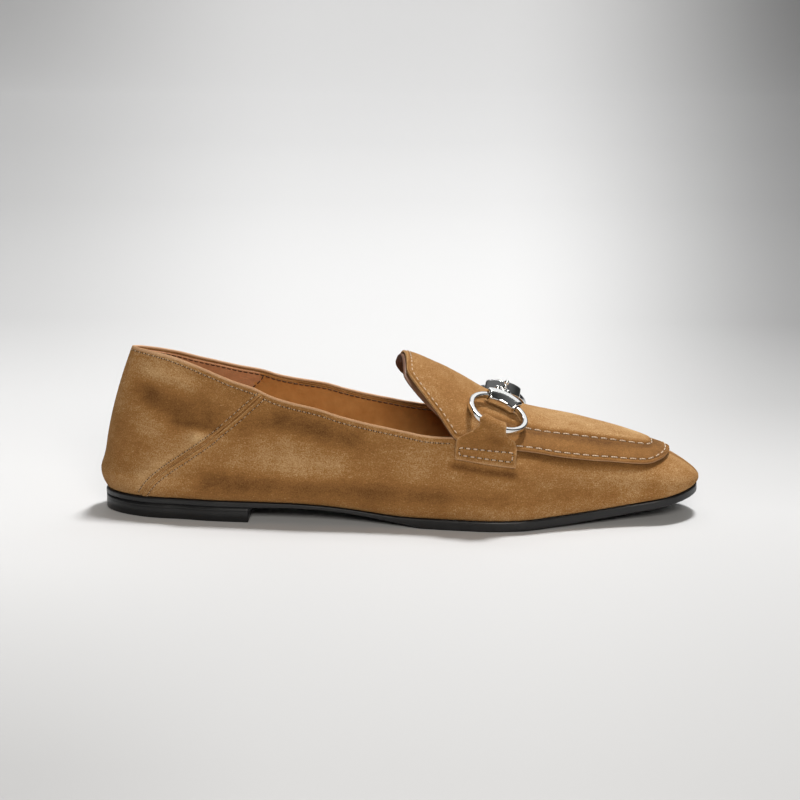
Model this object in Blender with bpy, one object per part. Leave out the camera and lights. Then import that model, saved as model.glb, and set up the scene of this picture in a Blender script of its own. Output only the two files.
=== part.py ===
# Suede bit loafer, the right shoe of a pair, standing on its sole.
# Metres, +X to the toe, -Y to the outer (lateral) side, +Z up. The last's own zero is the back of the sole
# on the floor, and the finished shoe is moved so that the middle of its footprint is the origin.

import math

import bpy
import numpy as np

# Driving dimensions of the sole.
SOLE_LENGTH = 0.2635
BALL_WIDTH = 0.0785
HEEL_WIDTH = 0.0565
HEEL_HEIGHT = 0.0092  # floor to the top of the outsole at the seat
HEEL_LENGTH = 0.0662
OUTSOLE_THICKNESS = 0.0045
WAIST_THICKNESS = 0.0019
TOE_SPRING = 0.0090
EDGE_BEVEL = 0.0007

# Driving dimensions of the upper, all above the top of the outsole.
INSTEP_HEIGHT = 0.0562  # ridge of the vamp at the throat
BACK_HEIGHT = 0.0634  # topline at the back seam
SIDE_HEIGHT = 0.0357  # topline at the throat corners
TOPLINE_WIDTH = 0.0690  # opening at the throat corners
BACK_LEAN = 0.0125  # how far the topline leans in over the back of the sole
FEATHER_INSET = 0.0008  # the sole's ledge outside the upper's lower edge
UPPER_WALL = 0.0018

# Apron, insole and tabs.
APRON_THICKNESS = 0.0016
INSOLE_THICKNESS = 0.0020
TAB_THICKNESS = 0.0014
TAB_WIDTH = 0.0258
TAB_NECK = 0.0108

# Bit.
RING_DIAMETER = 0.0275
RING_BAND = 0.0023
RING_RISE = 0.0024
SLEEVE_CLEARANCE = 0.0013  # the flat sleeve's room over the rounded apron
LINK_CLEARANCE = 0.0022  # between the link's balls and the apron's ridge

GAP = 0.0003  # between pieces that touch
APRON_GAP = 0.0004  # the apron lies over a rounder face, so it gets a little more

LATERAL, MEDIAL = -1.0, 1.0
SIDE_NAME = {LATERAL: "lateral", MEDIAL: "medial"}
COLUMNS_AROUND = 88  # columns of the upper's net, from the back seam round the toe and back
ROWS_LOW = 3
ROWS_HIGH = 11
APRON_ROWS, APRON_COLUMNS = 30, 19
TAB_COLUMNS = 7

# Plan of the sole. station is a share of SOLE_LENGTH, lateral and medial are half widths as shares of the local
# width, which goes from HEEL_WIDTH to BALL_WIDTH, and middle is the middle line as a share of BALL_WIDTH.
SOLE_PLAN = {
    "station": (0.00, 0.115, 0.20, 0.27, 0.34, 0.40, 0.47, 0.535, 0.60, 0.655, 0.70, 0.77, 0.835, 0.90, 1.00),
    "lateral": (0.375, 0.405, 0.480, 0.500, 0.490, 0.470, 0.458, 0.465, 0.488, 0.508, 0.498, 0.418, 0.350, 0.300, 0.268),
    "medial": (0.375, 0.405, 0.480, 0.490, 0.425, 0.380, 0.378, 0.410, 0.455, 0.487, 0.497, 0.470, 0.400, 0.312, 0.240),
    "middle": (0.00, 0.00, 0.00, 0.00, 0.00, 0.00, 0.00, 0.00, 0.000, 0.000, 0.002, 0.008, 0.014, 0.020, 0.026),
}

# Side view of the sole. arch goes from 0 on the floor at the ball to 1 at the seat, and waist from 0 for
# OUTSOLE_THICKNESS to 1 for WAIST_THICKNESS.
SOLE_SIDE = {
    "station": (0.00, 0.245, 0.30, 0.335, 0.37, 0.405, 0.44, 0.47, 0.505, 0.545, 0.68, 0.82, 1.00),
    "arch": (1.00, 1.00, 0.98, 0.94, 0.84, 0.67, 0.45, 0.23, 0.06, 0.00, 0.00, 0.00, 0.00),
    "waist": (0.77, 0.77, 0.92, 0.98, 1.00, 1.00, 0.94, 0.84, 0.58, 0.00, 0.00, 0.20, 0.36),
}
SPRING_START = 0.665  # station where the toe spring leaves the floor
FLARE = (0.22, 0.62)  # stations between which the width grows from the heel's to the ball's
HEEL_CAP_POWER, TOE_CAP_POWER, TOE_TOP_POWER = 1.85, 2.0, 1.85  # of the ends' superellipses

# Sections of the last. overhang_lateral and overhang_medial are how far the widest line stands out past the sole,
# as shares of BALL_WIDTH. rise is the widest line's height and crown the ridge's height above the outsole, as
# shares of INSTEP_HEIGHT. side_lateral, side_medial and top are the exponents of the arched section, and lean is
# the exponent and seat the extra roundness of the quarters' wall.
LAST_SECTIONS = {
    "station": (0.00, 0.10, 0.25, 0.40, 0.50, 0.60, 0.70, 0.80, 0.90, 0.95, 1.00),
    "overhang_lateral": (0.028, 0.028, 0.030, 0.040, 0.034, 0.020, 0.012, 0.010, 0.010, 0.010, 0.010),
    "overhang_medial": (0.028, 0.028, 0.032, 0.048, 0.042, 0.022, 0.012, 0.010, 0.010, 0.010, 0.010),
    "rise": (0.155, 0.160, 0.185, 0.235, 0.235, 0.200, 0.170, 0.130, 0.085, 0.060, 0.045),
    "side_lateral": (2.0, 2.0, 2.0, 2.0, 2.1, 2.3, 2.35, 2.25, 2.1, 2.0, 2.0),
    "side_medial": (2.0, 2.0, 2.0, 2.0, 1.97, 1.93, 1.93, 2.0, 2.0, 2.0, 2.0),
    "top": (2.0, 2.0, 2.0, 2.0, 2.1, 2.3, 2.35, 2.25, 2.1, 2.0, 2.0),
    "lean": (1.60, 1.60, 1.60, 1.75, 2.00, 2.20, 2.20, 2.20, 2.20, 2.20, 2.20),
    "seat": (0.11, 0.11, 0.07, 0.02, 0.00, 0.00, 0.00, 0.00, 0.00, 0.00, 0.00),
}

# Ridge of the vamp under the apron and tongue. crown is its height above the outsole as a share of INSTEP_HEIGHT,
# inwards how far it stands to the inner side of the middle line, as a share of BALL_WIDTH.
RIDGE = {
    "station": (0.47, 0.505, 0.56, 0.60, 0.64, 0.70, 0.742, 0.782, 0.822, 0.863, 0.903, 0.925, 0.960, 1.00),
    "crown": (1.165, 1.155, 1.056, 0.952, 0.832, 0.702, 0.652, 0.607, 0.549, 0.482, 0.402, 0.352, 0.279, 0.195),
    "inwards": (0.0, 0.005, 0.025, 0.045, 0.060, 0.060, 0.055, 0.048, 0.040, 0.030, 0.018, 0.012, 0.004, 0.0),
}
TOE_CAP_START = 0.925  # station where the toe starts to round off in plan and in height
HEEL_CAP_END = 0.115
WALL_ROUND_END = 0.09  # share of the quarter's height in which the seat's roundness is reached
COLUMN_PULL = 0.45  # how strongly the net's columns crowd towards the back seam and the toe
SEAT_COLUMNS = (0.64, 0.08, 0.26)  # reach of the fan of columns round the seat, and the stations where it ends

# Topline of the quarters. station is a share of the way from the back seam to the throat corner, height goes
# from SIDE_HEIGHT at 0 to BACK_HEIGHT at 1, lateral and medial are half widths as shares of TOPLINE_WIDTH, and
# medial_lift is how much higher the inner side stands, as a share of SIDE_HEIGHT.
TOPLINE = {
    "station": (0.0, 0.065, 0.13, 0.19, 0.25, 0.315, 0.385, 0.445, 0.50, 0.585, 0.645, 0.715, 0.785, 0.85, 0.92, 1.0),
    "height": (1.0, 0.946, 0.877, 0.783, 0.682, 0.570, 0.473, 0.350, 0.285, 0.220, 0.155, 0.112, 0.090, 0.054, 0.010, 0.0),
    "lateral": (0.030, 0.076, 0.108, 0.141, 0.188, 0.239, 0.283, 0.319, 0.348, 0.384, 0.402, 0.420, 0.439, 0.457, 0.475, 0.497),
    "medial": (0.030, 0.076, 0.108, 0.141, 0.188, 0.239, 0.275, 0.300, 0.315, 0.333, 0.345, 0.362, 0.382, 0.405, 0.440, 0.480),
    "medial_lift": (0.0, 0.0, 0.0, 0.0, 0.005, 0.010, 0.020, 0.035, 0.040, 0.042, 0.040, 0.032, 0.022, 0.010, 0.0, 0.0),
}
TOPLINE_BLENDS = (0.02, 0.80)  # where its rounded back ends, and where it starts to run into the vamp
THROAT_CORNER = 0.598  # station of the two throat corners, a share of SOLE_LENGTH
THROAT_DEPTH = 0.040  # how much further forward the throat lies on the ridge, hidden under the tongue

# Apron and tongue in plan. station is a share of SOLE_LENGTH, lateral and medial half widths from the middle
# line are shares of BALL_WIDTH.
APRON_PLAN = {
    "station": (0.506, 0.514, 0.532, 0.549, 0.567, 0.585, 0.600, 0.645, 0.70, 0.77, 0.809, 0.847, 0.886, 0.918, 0.950),
    "lateral": (0.236, 0.258, 0.297, 0.337, 0.377, 0.420, 0.442, 0.436, 0.408, 0.351, 0.317, 0.284, 0.254, 0.232, 0.220),
    "medial": (0.236, 0.258, 0.297, 0.337, 0.377, 0.420, 0.442, 0.444, 0.432, 0.400, 0.366, 0.325, 0.286, 0.255, 0.235),
}
APRON_FRONT = 0.950  # station of the apron's front edge
APRON_CAP_START = 0.902
APRON_CAP_POWER = 2.3
TONGUE_SLANT = 0.10  # the tongue's end runs further back on the inner side
TONGUE_HOLLOW = 0.285  # and its corners stand back of its middle, growing with the half width squared
TONGUE_END_REACH = 0.22  # share of the apron's rows that the tongue's end bends

# Tab, from its lower edge up to the ring. height is above the outsole as a share of INSTEP_HEIGHT, neck goes from
# 0 for TAB_WIDTH to 1 for TAB_NECK, drop is the row's slope towards the toe, over_apron is 1 where the tab lies on
# the apron and 0 where it lies on the vamp, and rise is the share of the way from the vamp to the ring.
TAB_ROWS = {
    "height": (0.448, 0.490, 0.530, 0.565, 0.585, 0.595, 0.600),
    "neck": (0.0, 0.0, 0.0, 0.0, 0.10, 0.55, 0.92),
    "drop": (0.13, 0.13, 0.13, 0.14, 0.15, 0.20, 0.28),
    "over_apron": (0.0, 0.15, 1.0, 1.0, 1.0, 1.0, 1.0),
    "rise": (0.0, 0.0, 0.0, 0.03, 0.16, 0.42, 0.72),
}
TAB_STATION = 0.645
TAB_CURL = (25, 200)  # degrees over which the neck turns round the ring
TAB_CURL_ROWS = 9

# Bit, with lengths as shares of RING_DIAMETER. reach is how far the ring's upper point stands from the ridge, and
# slack how far its lower point stands off the apron and the tab under it.
RING_STATION = 0.655
RING_SEAT = {
    "lateral": {"reach": 0.570, "slack": 0.130},
    "medial": {"reach": 0.650, "slack": 0.080},
}
RING_SKEW = 0.073  # its upper point stands further forward than its middle
RING_STEPS = 32
SLEEVE_STEPS = 3  # of those steps, to each side of the ring's upper point
BAR = {"sleeve_wide": 0.215, "sleeve_high": 0.215, "sleeve_taper": 0.12, "arm_wide": 0.150, "arm_high": 0.080}
LINK = {"long": 0.110, "wide": 0.100, "high": 0.085, "pin": 0.030, "ball": 0.052, "span": 0.180, "post": 0.150}
TOP_BALL = 0.8  # of the link's other balls


def share(table, column, station):
    """Reads a column of a table at a station, along a smooth curve that keeps each rise and fall."""
    x = np.asarray(table["station"], float)
    y = np.asarray(table[column], float)
    step = np.diff(x)
    slope = np.diff(y) / step
    tangent = np.zeros(len(x))
    tangent[0], tangent[-1] = slope[0], slope[-1]
    same_way = slope[:-1] * slope[1:] > 0
    pair = np.where(same_way, slope[:-1] + slope[1:], 1.0)
    tangent[1:-1] = np.where(same_way, 2 * slope[:-1] * slope[1:] / pair, 0.0)
    s = np.clip(np.asarray(station, float), x[0], x[-1])
    i = np.clip(np.searchsorted(x, s, side="right") - 1, 0, len(x) - 2)
    t = (s - x[i]) / step[i]
    return (
        y[i] * (1 + 2 * t) * (1 - t) ** 2
        + y[i + 1] * t**2 * (3 - 2 * t)
        + step[i] * (tangent[i] * t * (1 - t) ** 2 - tangent[i + 1] * t**2 * (1 - t))
    )


def smooth_step(value, low, high):
    t = np.clip((np.asarray(value, float) - low) / (high - low), 0.0, 1.0)
    return t * t * (3 - 2 * t)


def round_end(station, start, end, power):
    """1 up to start, then falls to 0 at end along a superellipse."""
    t = np.clip((np.asarray(station, float) - start) / (end - start), 0.0, 1.0)
    return (1 - t**power) ** (1 / power)


def sole_top(x):
    """Height of the outsole's upper face above the floor."""
    station = x / SOLE_LENGTH
    arch = share(SOLE_SIDE, "arch", station)
    spring = np.clip((station - SPRING_START) / (1 - SPRING_START), 0.0, None) ** 2
    return OUTSOLE_THICKNESS + (HEEL_HEIGHT - OUTSOLE_THICKNESS) * arch + TOE_SPRING * spring


def sole_bottom(x):
    waist = share(SOLE_SIDE, "waist", x / SOLE_LENGTH)
    return sole_top(x) - OUTSOLE_THICKNESS - (WAIST_THICKNESS - OUTSOLE_THICKNESS) * waist


def middle_line(x):
    return BALL_WIDTH * share(SOLE_PLAN, "middle", x / SOLE_LENGTH)


def local_width(x):
    return HEEL_WIDTH + (BALL_WIDTH - HEEL_WIDTH) * smooth_step(x / SOLE_LENGTH, *FLARE)


def sole_half_width(x, side):
    """Half width of the sole from its middle line, with both ends rounded."""
    station = np.clip(x / SOLE_LENGTH, 0.0, 1.0)
    body = share(SOLE_PLAN, SIDE_NAME[side], station)
    heel = round_end(1 - station, 1 - HEEL_CAP_END, 1.0, HEEL_CAP_POWER)
    toe = round_end(station, TOE_CAP_START, 1.0, TOE_CAP_POWER)
    return local_width(x) * body * heel * toe


def outline(side, offset, count=400):
    """Plan of the sole's edge on one side, heel to toe, moved outwards by offset(x). Rows of x, y and length run."""
    x = SOLE_LENGTH * (1 - np.cos(np.linspace(0, math.pi, count))) / 2
    y = middle_line(x) + side * sole_half_width(x, side)
    along = np.stack([np.gradient(x), np.gradient(y)], 1)
    along[0], along[-1] = (0, side), (0, -side)  # both ends are square to the middle line
    along /= np.linalg.norm(along, axis=1)[:, None]
    outward = np.stack([-side * along[:, 1], side * along[:, 0]], 1)
    moved = np.stack([x, y], 1) + outward * offset(x)[:, None]
    run = np.concatenate([[0], np.cumsum(np.hypot(np.diff(x), np.diff(y)))])
    return moved[:, 0], moved[:, 1], run / run[-1]


def edge_loop(offset, shares=None):
    """Closed plan of the sole's edge, from the back seam along the lateral side to the toe and back."""
    shares = np.arange(COLUMNS_AROUND // 2 + 1) / (COLUMNS_AROUND // 2) if shares is None else shares
    points = []
    for side in (LATERAL, MEDIAL):
        x, y, run = outline(side, offset)
        points.append(np.stack([np.interp(shares, run, x), np.interp(shares, run, y)], 1))
    return np.concatenate([points[0], points[1][-2:0:-1]])


def overhang(side):
    """How far the last's widest line stands out past the sole, as a function of x."""
    return lambda x: BALL_WIDTH * share(LAST_SECTIONS, f"overhang_{SIDE_NAME[side]}", x / SOLE_LENGTH)


def ridge_line(x):
    return middle_line(x) + BALL_WIDTH * share(RIDGE, "inwards", x / SOLE_LENGTH)


def widest_half_width(x, side):
    """Half width of the last at its widest line, from the ridge, at a plane across the shoe."""
    px, py, _ = outline(side, overhang(side))
    return np.abs(np.interp(x, px, py) - ridge_line(x))


def widest_height(x):
    return sole_top(x) + INSTEP_HEIGHT * share(LAST_SECTIONS, "rise", x / SOLE_LENGTH)


def ridge_height(x):
    """Height of the vamp's ridge, rounded down to the widest line at the tip of the toe."""
    low = widest_height(x)
    tip = outline(LATERAL, overhang(LATERAL))[0][-1]
    crown = sole_top(x) + INSTEP_HEIGHT * share(RIDGE, "crown", x / SOLE_LENGTH)
    return low + (crown - low) * round_end(x / tip, TOE_CAP_START, 1.0, TOE_TOP_POWER)


def vamp_height(x, y):
    """Height of the vamp's outer face over a point of the plan, an arch across the shoe."""
    station = x / SOLE_LENGTH
    on_lateral = y < ridge_line(x)
    width = np.where(on_lateral, widest_half_width(x, LATERAL), widest_half_width(x, MEDIAL))
    lateral, medial = share(LAST_SECTIONS, "side_lateral", station), share(LAST_SECTIONS, "side_medial", station)
    reach = np.clip(np.abs(y - ridge_line(x)) / np.maximum(width, 1e-6), 0.0, 1.0)
    arch = (1 - reach ** np.where(on_lateral, lateral, medial)) ** (1 / share(LAST_SECTIONS, "top", station))
    low = widest_height(x)
    return low + (ridge_height(x) - low) * arch


def vamp_side(x, z, side):
    """Where, across the shoe, the vamp's outer face stands at a height."""
    low = widest_height(x)
    station = x / SOLE_LENGTH
    arch = np.clip((z - low) / (ridge_height(x) - low), 0.0, 1.0)
    exponent = share(LAST_SECTIONS, f"side_{SIDE_NAME[side]}", station)
    reach = (1 - arch ** share(LAST_SECTIONS, "top", station)) ** (1 / exponent)
    return ridge_line(x) + side * widest_half_width(x, side) * reach


def lifted(x, y, height):
    """Points of the plan on the vamp's outer face, moved out square to it by a height."""
    x, y = np.broadcast_arrays(np.asarray(x, float), np.asarray(y, float))
    step = 0.0004
    slope_x = (vamp_height(x + step, y) - vamp_height(x - step, y)) / (2 * step)
    slope_y = (vamp_height(x, y + step) - vamp_height(x, y - step)) / (2 * step)
    normal = np.stack([-slope_x, -slope_y, np.ones_like(slope_x)], -1)
    normal /= np.linalg.norm(normal, axis=-1)[..., None]
    return np.stack([x, y, vamp_height(x, y)], -1) + normal * np.asarray(height)[..., None]


def grid_faces(rows, columns, start=0, wrap=False, flip=False):
    """Quads of a net of rows by columns, numbered from start."""
    faces = []
    for i in range(rows - 1):
        for j in range(columns if wrap else columns - 1):
            k = (j + 1) % columns
            face = (start + i * columns + j, start + i * columns + k,
                    start + (i + 1) * columns + k, start + (i + 1) * columns + j)
            faces.append(face[::-1] if flip else face)
    return faces


def add_piece(name, points, faces, colour, roughness, metallic=0.0):
    """Makes one named object with its own material from points and faces."""
    mesh = bpy.data.meshes.new(name)
    mesh.from_pydata([tuple(p) for p in np.asarray(points).reshape(-1, 3)], [], faces)
    mesh.shade_smooth()
    mesh.set_sharp_from_angle(angle=math.radians(40))
    piece = bpy.data.objects.new(name, mesh)
    bpy.context.scene.collection.objects.link(piece)
    material = bpy.data.materials.new(name)
    material.use_nodes = True
    surface = material.node_tree.nodes["Principled BSDF"]
    surface.inputs["Base Color"].default_value = (*colour, 1.0)
    surface.inputs["Roughness"].default_value = roughness
    surface.inputs["Metallic"].default_value = metallic
    mesh.materials.append(material)
    return piece


SUEDE = dict(colour=(0.42, 0.25, 0.11), roughness=0.95)
LINING = dict(colour=(0.45, 0.27, 0.13), roughness=0.55)
SOLE_BLACK = dict(colour=(0.012, 0.012, 0.013), roughness=0.45)
POLISHED = dict(colour=(0.75, 0.75, 0.75), roughness=0.12, metallic=1.0)


def capped_solid(loops):
    """Faces of a closed solid from loops of equal count, low to high, whose two halves mirror each other."""
    count = loops[0].shape[0]
    faces = grid_faces(len(loops), count, wrap=True)
    for start, flip in ((0, True), ((len(loops) - 1) * count, False)):
        for j in range(count // 2):
            face = (start + j, start + j + 1, start + (count - j - 1) % count, start + (count - j) % count)
            face = tuple(dict.fromkeys(face))
            faces.append(face[::-1] if flip else face)
    return faces


def column_shares():
    """Shares of the way from the back seam to the toe, closer together at both ends."""
    t = np.arange(COLUMNS_AROUND // 2 + 1) / (COLUMNS_AROUND // 2)
    return t - COLUMN_PULL * np.sin(2 * math.pi * t) / (2 * math.pi)


def build_outsole():
    shares = column_shares()
    levels = ((-EDGE_BEVEL, 0.0, 0.0), (0.0, EDGE_BEVEL, 0.0), (0.0, -EDGE_BEVEL / 2, 1.0), (-EDGE_BEVEL / 2, 0.0, 1.0))
    loops = []
    for inset, rise, on_top in levels:
        plan = edge_loop(lambda x: np.full_like(x, inset), shares)
        edge = edge_loop(lambda x: np.zeros_like(x), shares)[:, 0]
        z = sole_bottom(edge) + (sole_top(edge) - sole_bottom(edge)) * on_top + rise
        loops.append(np.column_stack([plan, z]))
    return add_piece("outsole", np.concatenate(loops), capped_solid(loops), **SOLE_BLACK)


def build_heel():
    """Low block under the seat, with a straight breast."""
    loops = []
    for inset, on_top in ((EDGE_BEVEL, 0.0), (0.0, 0.0), (0.0, 1.0)):
        halves = []
        for side in (LATERAL, MEDIAL):
            x, y, run = outline(side, lambda x: np.full_like(x, -GAP - inset))
            end = np.interp(HEEL_LENGTH - inset, x, run)
            s = end * np.linspace(0, 1, 19) ** 1.3
            halves.append(np.stack([np.interp(s, run, x), np.interp(s, run, y)], 1))
        plan = np.concatenate([halves[0], halves[1][:0:-1]])
        low = 0.0 if inset else EDGE_BEVEL
        z = low * (1 - on_top) + (sole_bottom(plan[:, 0]) - GAP) * on_top
        loops.append(np.column_stack([plan, z]))
    return add_piece("heel", np.concatenate(loops), capped_solid(loops), **SOLE_BLACK)


def topline(side, way):
    """Topline of a quarter, back seam to throat corner."""
    corner = THROAT_CORNER * SOLE_LENGTH
    x = BACK_LEAN + (corner - BACK_LEAN) * way
    half = TOPLINE_WIDTH * share(TOPLINE, SIDE_NAME[side], way)
    z = sole_top(x) + SIDE_HEIGHT + (BACK_HEIGHT - SIDE_HEIGHT) * share(TOPLINE, "height", way)
    if side == MEDIAL:
        z = z + SIDE_HEIGHT * share(TOPLINE, "medial_lift", way)
    y = middle_line(x) + side * half * np.sqrt(np.clip(way / TOPLINE_BLENDS[0], 0.0, 1.0))
    y = y + (vamp_side(x, z, side) - y) * smooth_step(way, TOPLINE_BLENDS[1], 1.0)
    return np.stack([x, y, z], -1)


def upper_net(shares, low_rows=ROWS_LOW, high_rows=ROWS_HIGH):
    """Outer face of the upper, rows of columns from the lower edge up to the topline and throat."""
    corner_x = THROAT_CORNER * SOLE_LENGTH
    halves = []
    for side in (LATERAL, MEDIAL):
        foot_x, foot_y, run = outline(side, lambda x: np.full_like(x, -FEATHER_INSET))
        wide_x, wide_y, _ = outline(side, overhang(side))
        length = np.hypot(np.diff(foot_x), np.diff(foot_y)).sum()
        foot = np.stack([np.interp(shares, run, foot_x), np.interp(shares, run, foot_y)], 1)
        wide = np.stack([np.interp(shares, run, wide_x), np.interp(shares, run, wide_y)], 1)
        edge_x = np.interp(shares, run, outline(side, lambda x: np.zeros_like(x))[0])
        foot_z, wide_z = sole_top(foot[:, 0]) + GAP, widest_height(edge_x)
        corner_share = np.interp(corner_x, wide_x, run)
        quarter = shares <= corner_share
        # On the quarters each column ends on the topline, on the vamp on the throat.
        round_heel = BACK_LEAN + length * shares * SEAT_COLUMNS[0]
        straight = smooth_step(wide[:, 0] / SOLE_LENGTH, *SEAT_COLUMNS[1:])
        top_x = round_heel + (wide[:, 0] - round_heel) * straight
        top = topline(side, np.clip((top_x - BACK_LEAN) / (corner_x - BACK_LEAN), 0.0, 1.0))
        corner = topline(side, np.array([1.0]))[0]
        turn = np.clip((shares - corner_share) / (1 - corner_share), 0.0, 1.0) * math.pi / 2
        throat_x = corner_x + THROAT_DEPTH * SOLE_LENGTH * np.sin(turn)
        throat_y = middle_line(throat_x) + (corner[1] - middle_line(corner_x)) * np.cos(turn)
        top = np.where(quarter[:, None], top, np.stack([throat_x, throat_y, vamp_height(throat_x, throat_y)], 1))
        station = edge_x / SOLE_LENGTH
        lean, seat = share(LAST_SECTIONS, "lean", station), share(LAST_SECTIONS, "seat", station)
        rows = []
        for i in range(low_rows):
            t = i / low_rows
            plan = foot + (wide - foot) * (1 - (1 - t) ** 2)
            rows.append(np.column_stack([plan, foot_z + (wide_z - foot_z) * t]))
        for i in range(high_rows + 1):
            t = i / high_rows
            wall = seat * (1 - math.exp(-((t / WALL_ROUND_END) ** 2))) + (1 - seat) * t**lean
            plan = wide + (top[:, :2] - wide) * wall[:, None]
            z = wide_z + (top[:, 2] - wide_z) * t
            arch = wide + (top[:, :2] - wide) * (1 - math.cos(t * math.pi / 2))
            arch_z = vamp_height(arch[:, 0], arch[:, 1])
            on_quarter = np.column_stack([plan, z])
            on_vamp = np.column_stack([arch, np.maximum(arch_z, wide_z) if i == 0 else arch_z])
            rows.append(np.where(quarter[:, None], on_quarter, on_vamp))
        halves.append(np.stack(rows))
    return np.concatenate([halves[0], halves[1][:, -2:0:-1]], axis=1)


def net_normals(net):
    around = np.roll(net, -1, axis=1) - np.roll(net, 1, axis=1)
    up = np.gradient(net, axis=0)
    normal = np.cross(around, up)
    return normal / np.linalg.norm(normal, axis=-1)[..., None]


def build_upper():
    """One hollow shell: the outer face, the inner face a wall inside it, and a rim at each edge."""
    outer = upper_net(column_shares())
    inner = outer - net_normals(outer) * UPPER_WALL
    inner[0, :, 2] = sole_top(inner[0, :, 0]) + GAP
    rows, columns = outer.shape[:2]
    count = rows * columns
    faces = grid_faces(rows, columns, wrap=True)
    faces += grid_faces(rows, columns, start=count, wrap=True, flip=True)
    for j in range(columns):
        k = (j + 1) % columns
        top = (rows - 1) * columns
        faces.append((k, j, count + j, count + k))
        faces.append((top + j, top + k, count + top + k, count + top + j))
    return add_piece("upper", np.concatenate([outer.reshape(-1, 3), inner.reshape(-1, 3)]), faces, **SUEDE)


def build_insole():
    inset = FEATHER_INSET + UPPER_WALL + 2 * GAP
    shares = column_shares()
    loops = []
    for height in (GAP, GAP + INSOLE_THICKNESS):
        plan = edge_loop(lambda x: np.full_like(x, -inset), shares)
        loops.append(np.column_stack([plan, sole_top(plan[:, 0]) + height]))
    return add_piece("insole", np.concatenate(loops), capped_solid(loops), **LINING)


def sheet_solid(low, high):
    """Points and faces of a closed sheet between two nets of the same size."""
    rows, columns = low.shape[:2]
    count = rows * columns
    faces = grid_faces(rows, columns) + grid_faces(rows, columns, start=count, flip=True)
    for i in range(rows - 1):
        a, b = i * columns, (i + 1) * columns
        faces.append((a, b, count + b, count + a))
        a, b = a + columns - 1, b + columns - 1
        faces.append((b, a, count + a, count + b))
    for j in range(columns - 1):
        faces.append((j + 1, j, count + j, count + j + 1))
        a = (rows - 1) * columns + j
        faces.append((a, a + 1, count + a + 1, count + a))
    return np.concatenate([low.reshape(-1, 3), high.reshape(-1, 3)]), faces


def crowded(way, quarter):
    """Even steps from 0 to 1 or -1 that crowd towards the end, along this share of a sine's quarter."""
    return np.sin(way * quarter * math.pi / 2) / math.sin(quarter * math.pi / 2)


def apron_plan(rows=APRON_ROWS, columns=APRON_COLUMNS):
    """Net of the apron and tongue in plan, from the tongue's end to the front edge."""
    start = APRON_PLAN["station"][0]
    t = crowded(np.linspace(0, 1, rows), 0.975)
    station = start + (APRON_FRONT - start) * t
    cap = round_end(station, APRON_CAP_START, APRON_FRONT + 0.0001, APRON_CAP_POWER)
    x = station * SOLE_LENGTH
    across = crowded(np.linspace(-1, 1, columns), 0.8)
    lateral = BALL_WIDTH * share(APRON_PLAN, "lateral", station) * cap
    medial = BALL_WIDTH * share(APRON_PLAN, "medial", station) * cap
    half = np.where(across < 0, lateral[:, None], medial[:, None])
    y = middle_line(x)[:, None] + across * half
    back = 1 - smooth_step(t, 0.0, TONGUE_END_REACH)
    shift = -TONGUE_SLANT * y - TONGUE_HOLLOW * y**2 / BALL_WIDTH
    return x[:, None] + shift * back[:, None], y


def build_apron():
    x, y = apron_plan()
    points, faces = sheet_solid(lifted(x, y, APRON_GAP), lifted(x, y, APRON_GAP + APRON_THICKNESS))
    return add_piece("apron", points, faces, **SUEDE)


def unit(vector):
    return np.asarray(vector) / np.linalg.norm(vector)


def ring_frame(side):
    """Middle of the ring and its three directions: along the shoe, up across it towards the ridge, and outwards.

    The ring leans on the vamp. Its upper point stands on the apron with room for the sleeve, its lower point
    stands over the apron with room for the tab that goes under and round it.
    """
    radius = (RING_DIAMETER - RING_BAND) / 2
    seat = RING_SEAT[SIDE_NAME[side]]
    x = RING_STATION * SOLE_LENGTH
    skew = RING_SKEW * RING_DIAMETER
    on_apron = APRON_GAP + APRON_THICKNESS + GAP
    top_lift = on_apron + SLEEVE_CLEARANCE + RING_DIAMETER * BAR["sleeve_high"] / 2
    low_lift = on_apron + GAP + TAB_THICKNESS + RING_RISE / 2 + RING_DIAMETER * seat["slack"]
    top = lifted(x + skew, ridge_line(x) + side * RING_DIAMETER * seat["reach"], top_lift)
    tries = ridge_line(x) + side * np.linspace(0.5, 0.985, 400) * widest_half_width(x, side)
    low = lifted(np.full_like(tries, x - skew), tries, low_lift)
    low = low[np.argmin(np.abs(np.linalg.norm(low - top, axis=1) - 2 * radius))]
    across = unit(top - low)
    middle = top - across * radius
    ahead = lifted(x + radius / 2, middle[1], 0.0) - lifted(x - radius / 2, middle[1], 0.0)
    along = unit(ahead - across * np.dot(ahead, across))
    return middle, along, across, np.cross(along, across) * -side, radius


def band_section(wide, high, corner):
    """Eight corners of a bevelled band, as steps away from the ring's middle and along its axis."""
    w, h, c = wide / 2, high / 2, corner
    return np.array([(w, -h + c), (w, h - c), (w - c, h), (-w + c, h), (-w, h - c), (-w, -h + c), (-w + c, -h), (w - c, -h)])


def around_ring(frame, angle, section):
    """Places a band's section at an angle round the ring, measured from its upper point."""
    middle, along, across, outwards, radius = frame
    away = across * math.cos(angle) + along * math.sin(angle)
    return middle + np.outer(radius + section[:, 0], away) + np.outer(section[:, 1], outwards)


def face_outwards(points, faces):
    """Turns all faces over if the closed solid's volume comes out negative."""
    p = np.asarray(points)
    volume = sum(np.dot(p[f[0]], np.cross(p[f[i]], p[f[i + 1]])) for f in faces for i in range(1, len(f) - 1))
    return faces if volume > 0 else [tuple(reversed(f)) for f in faces]


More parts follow.
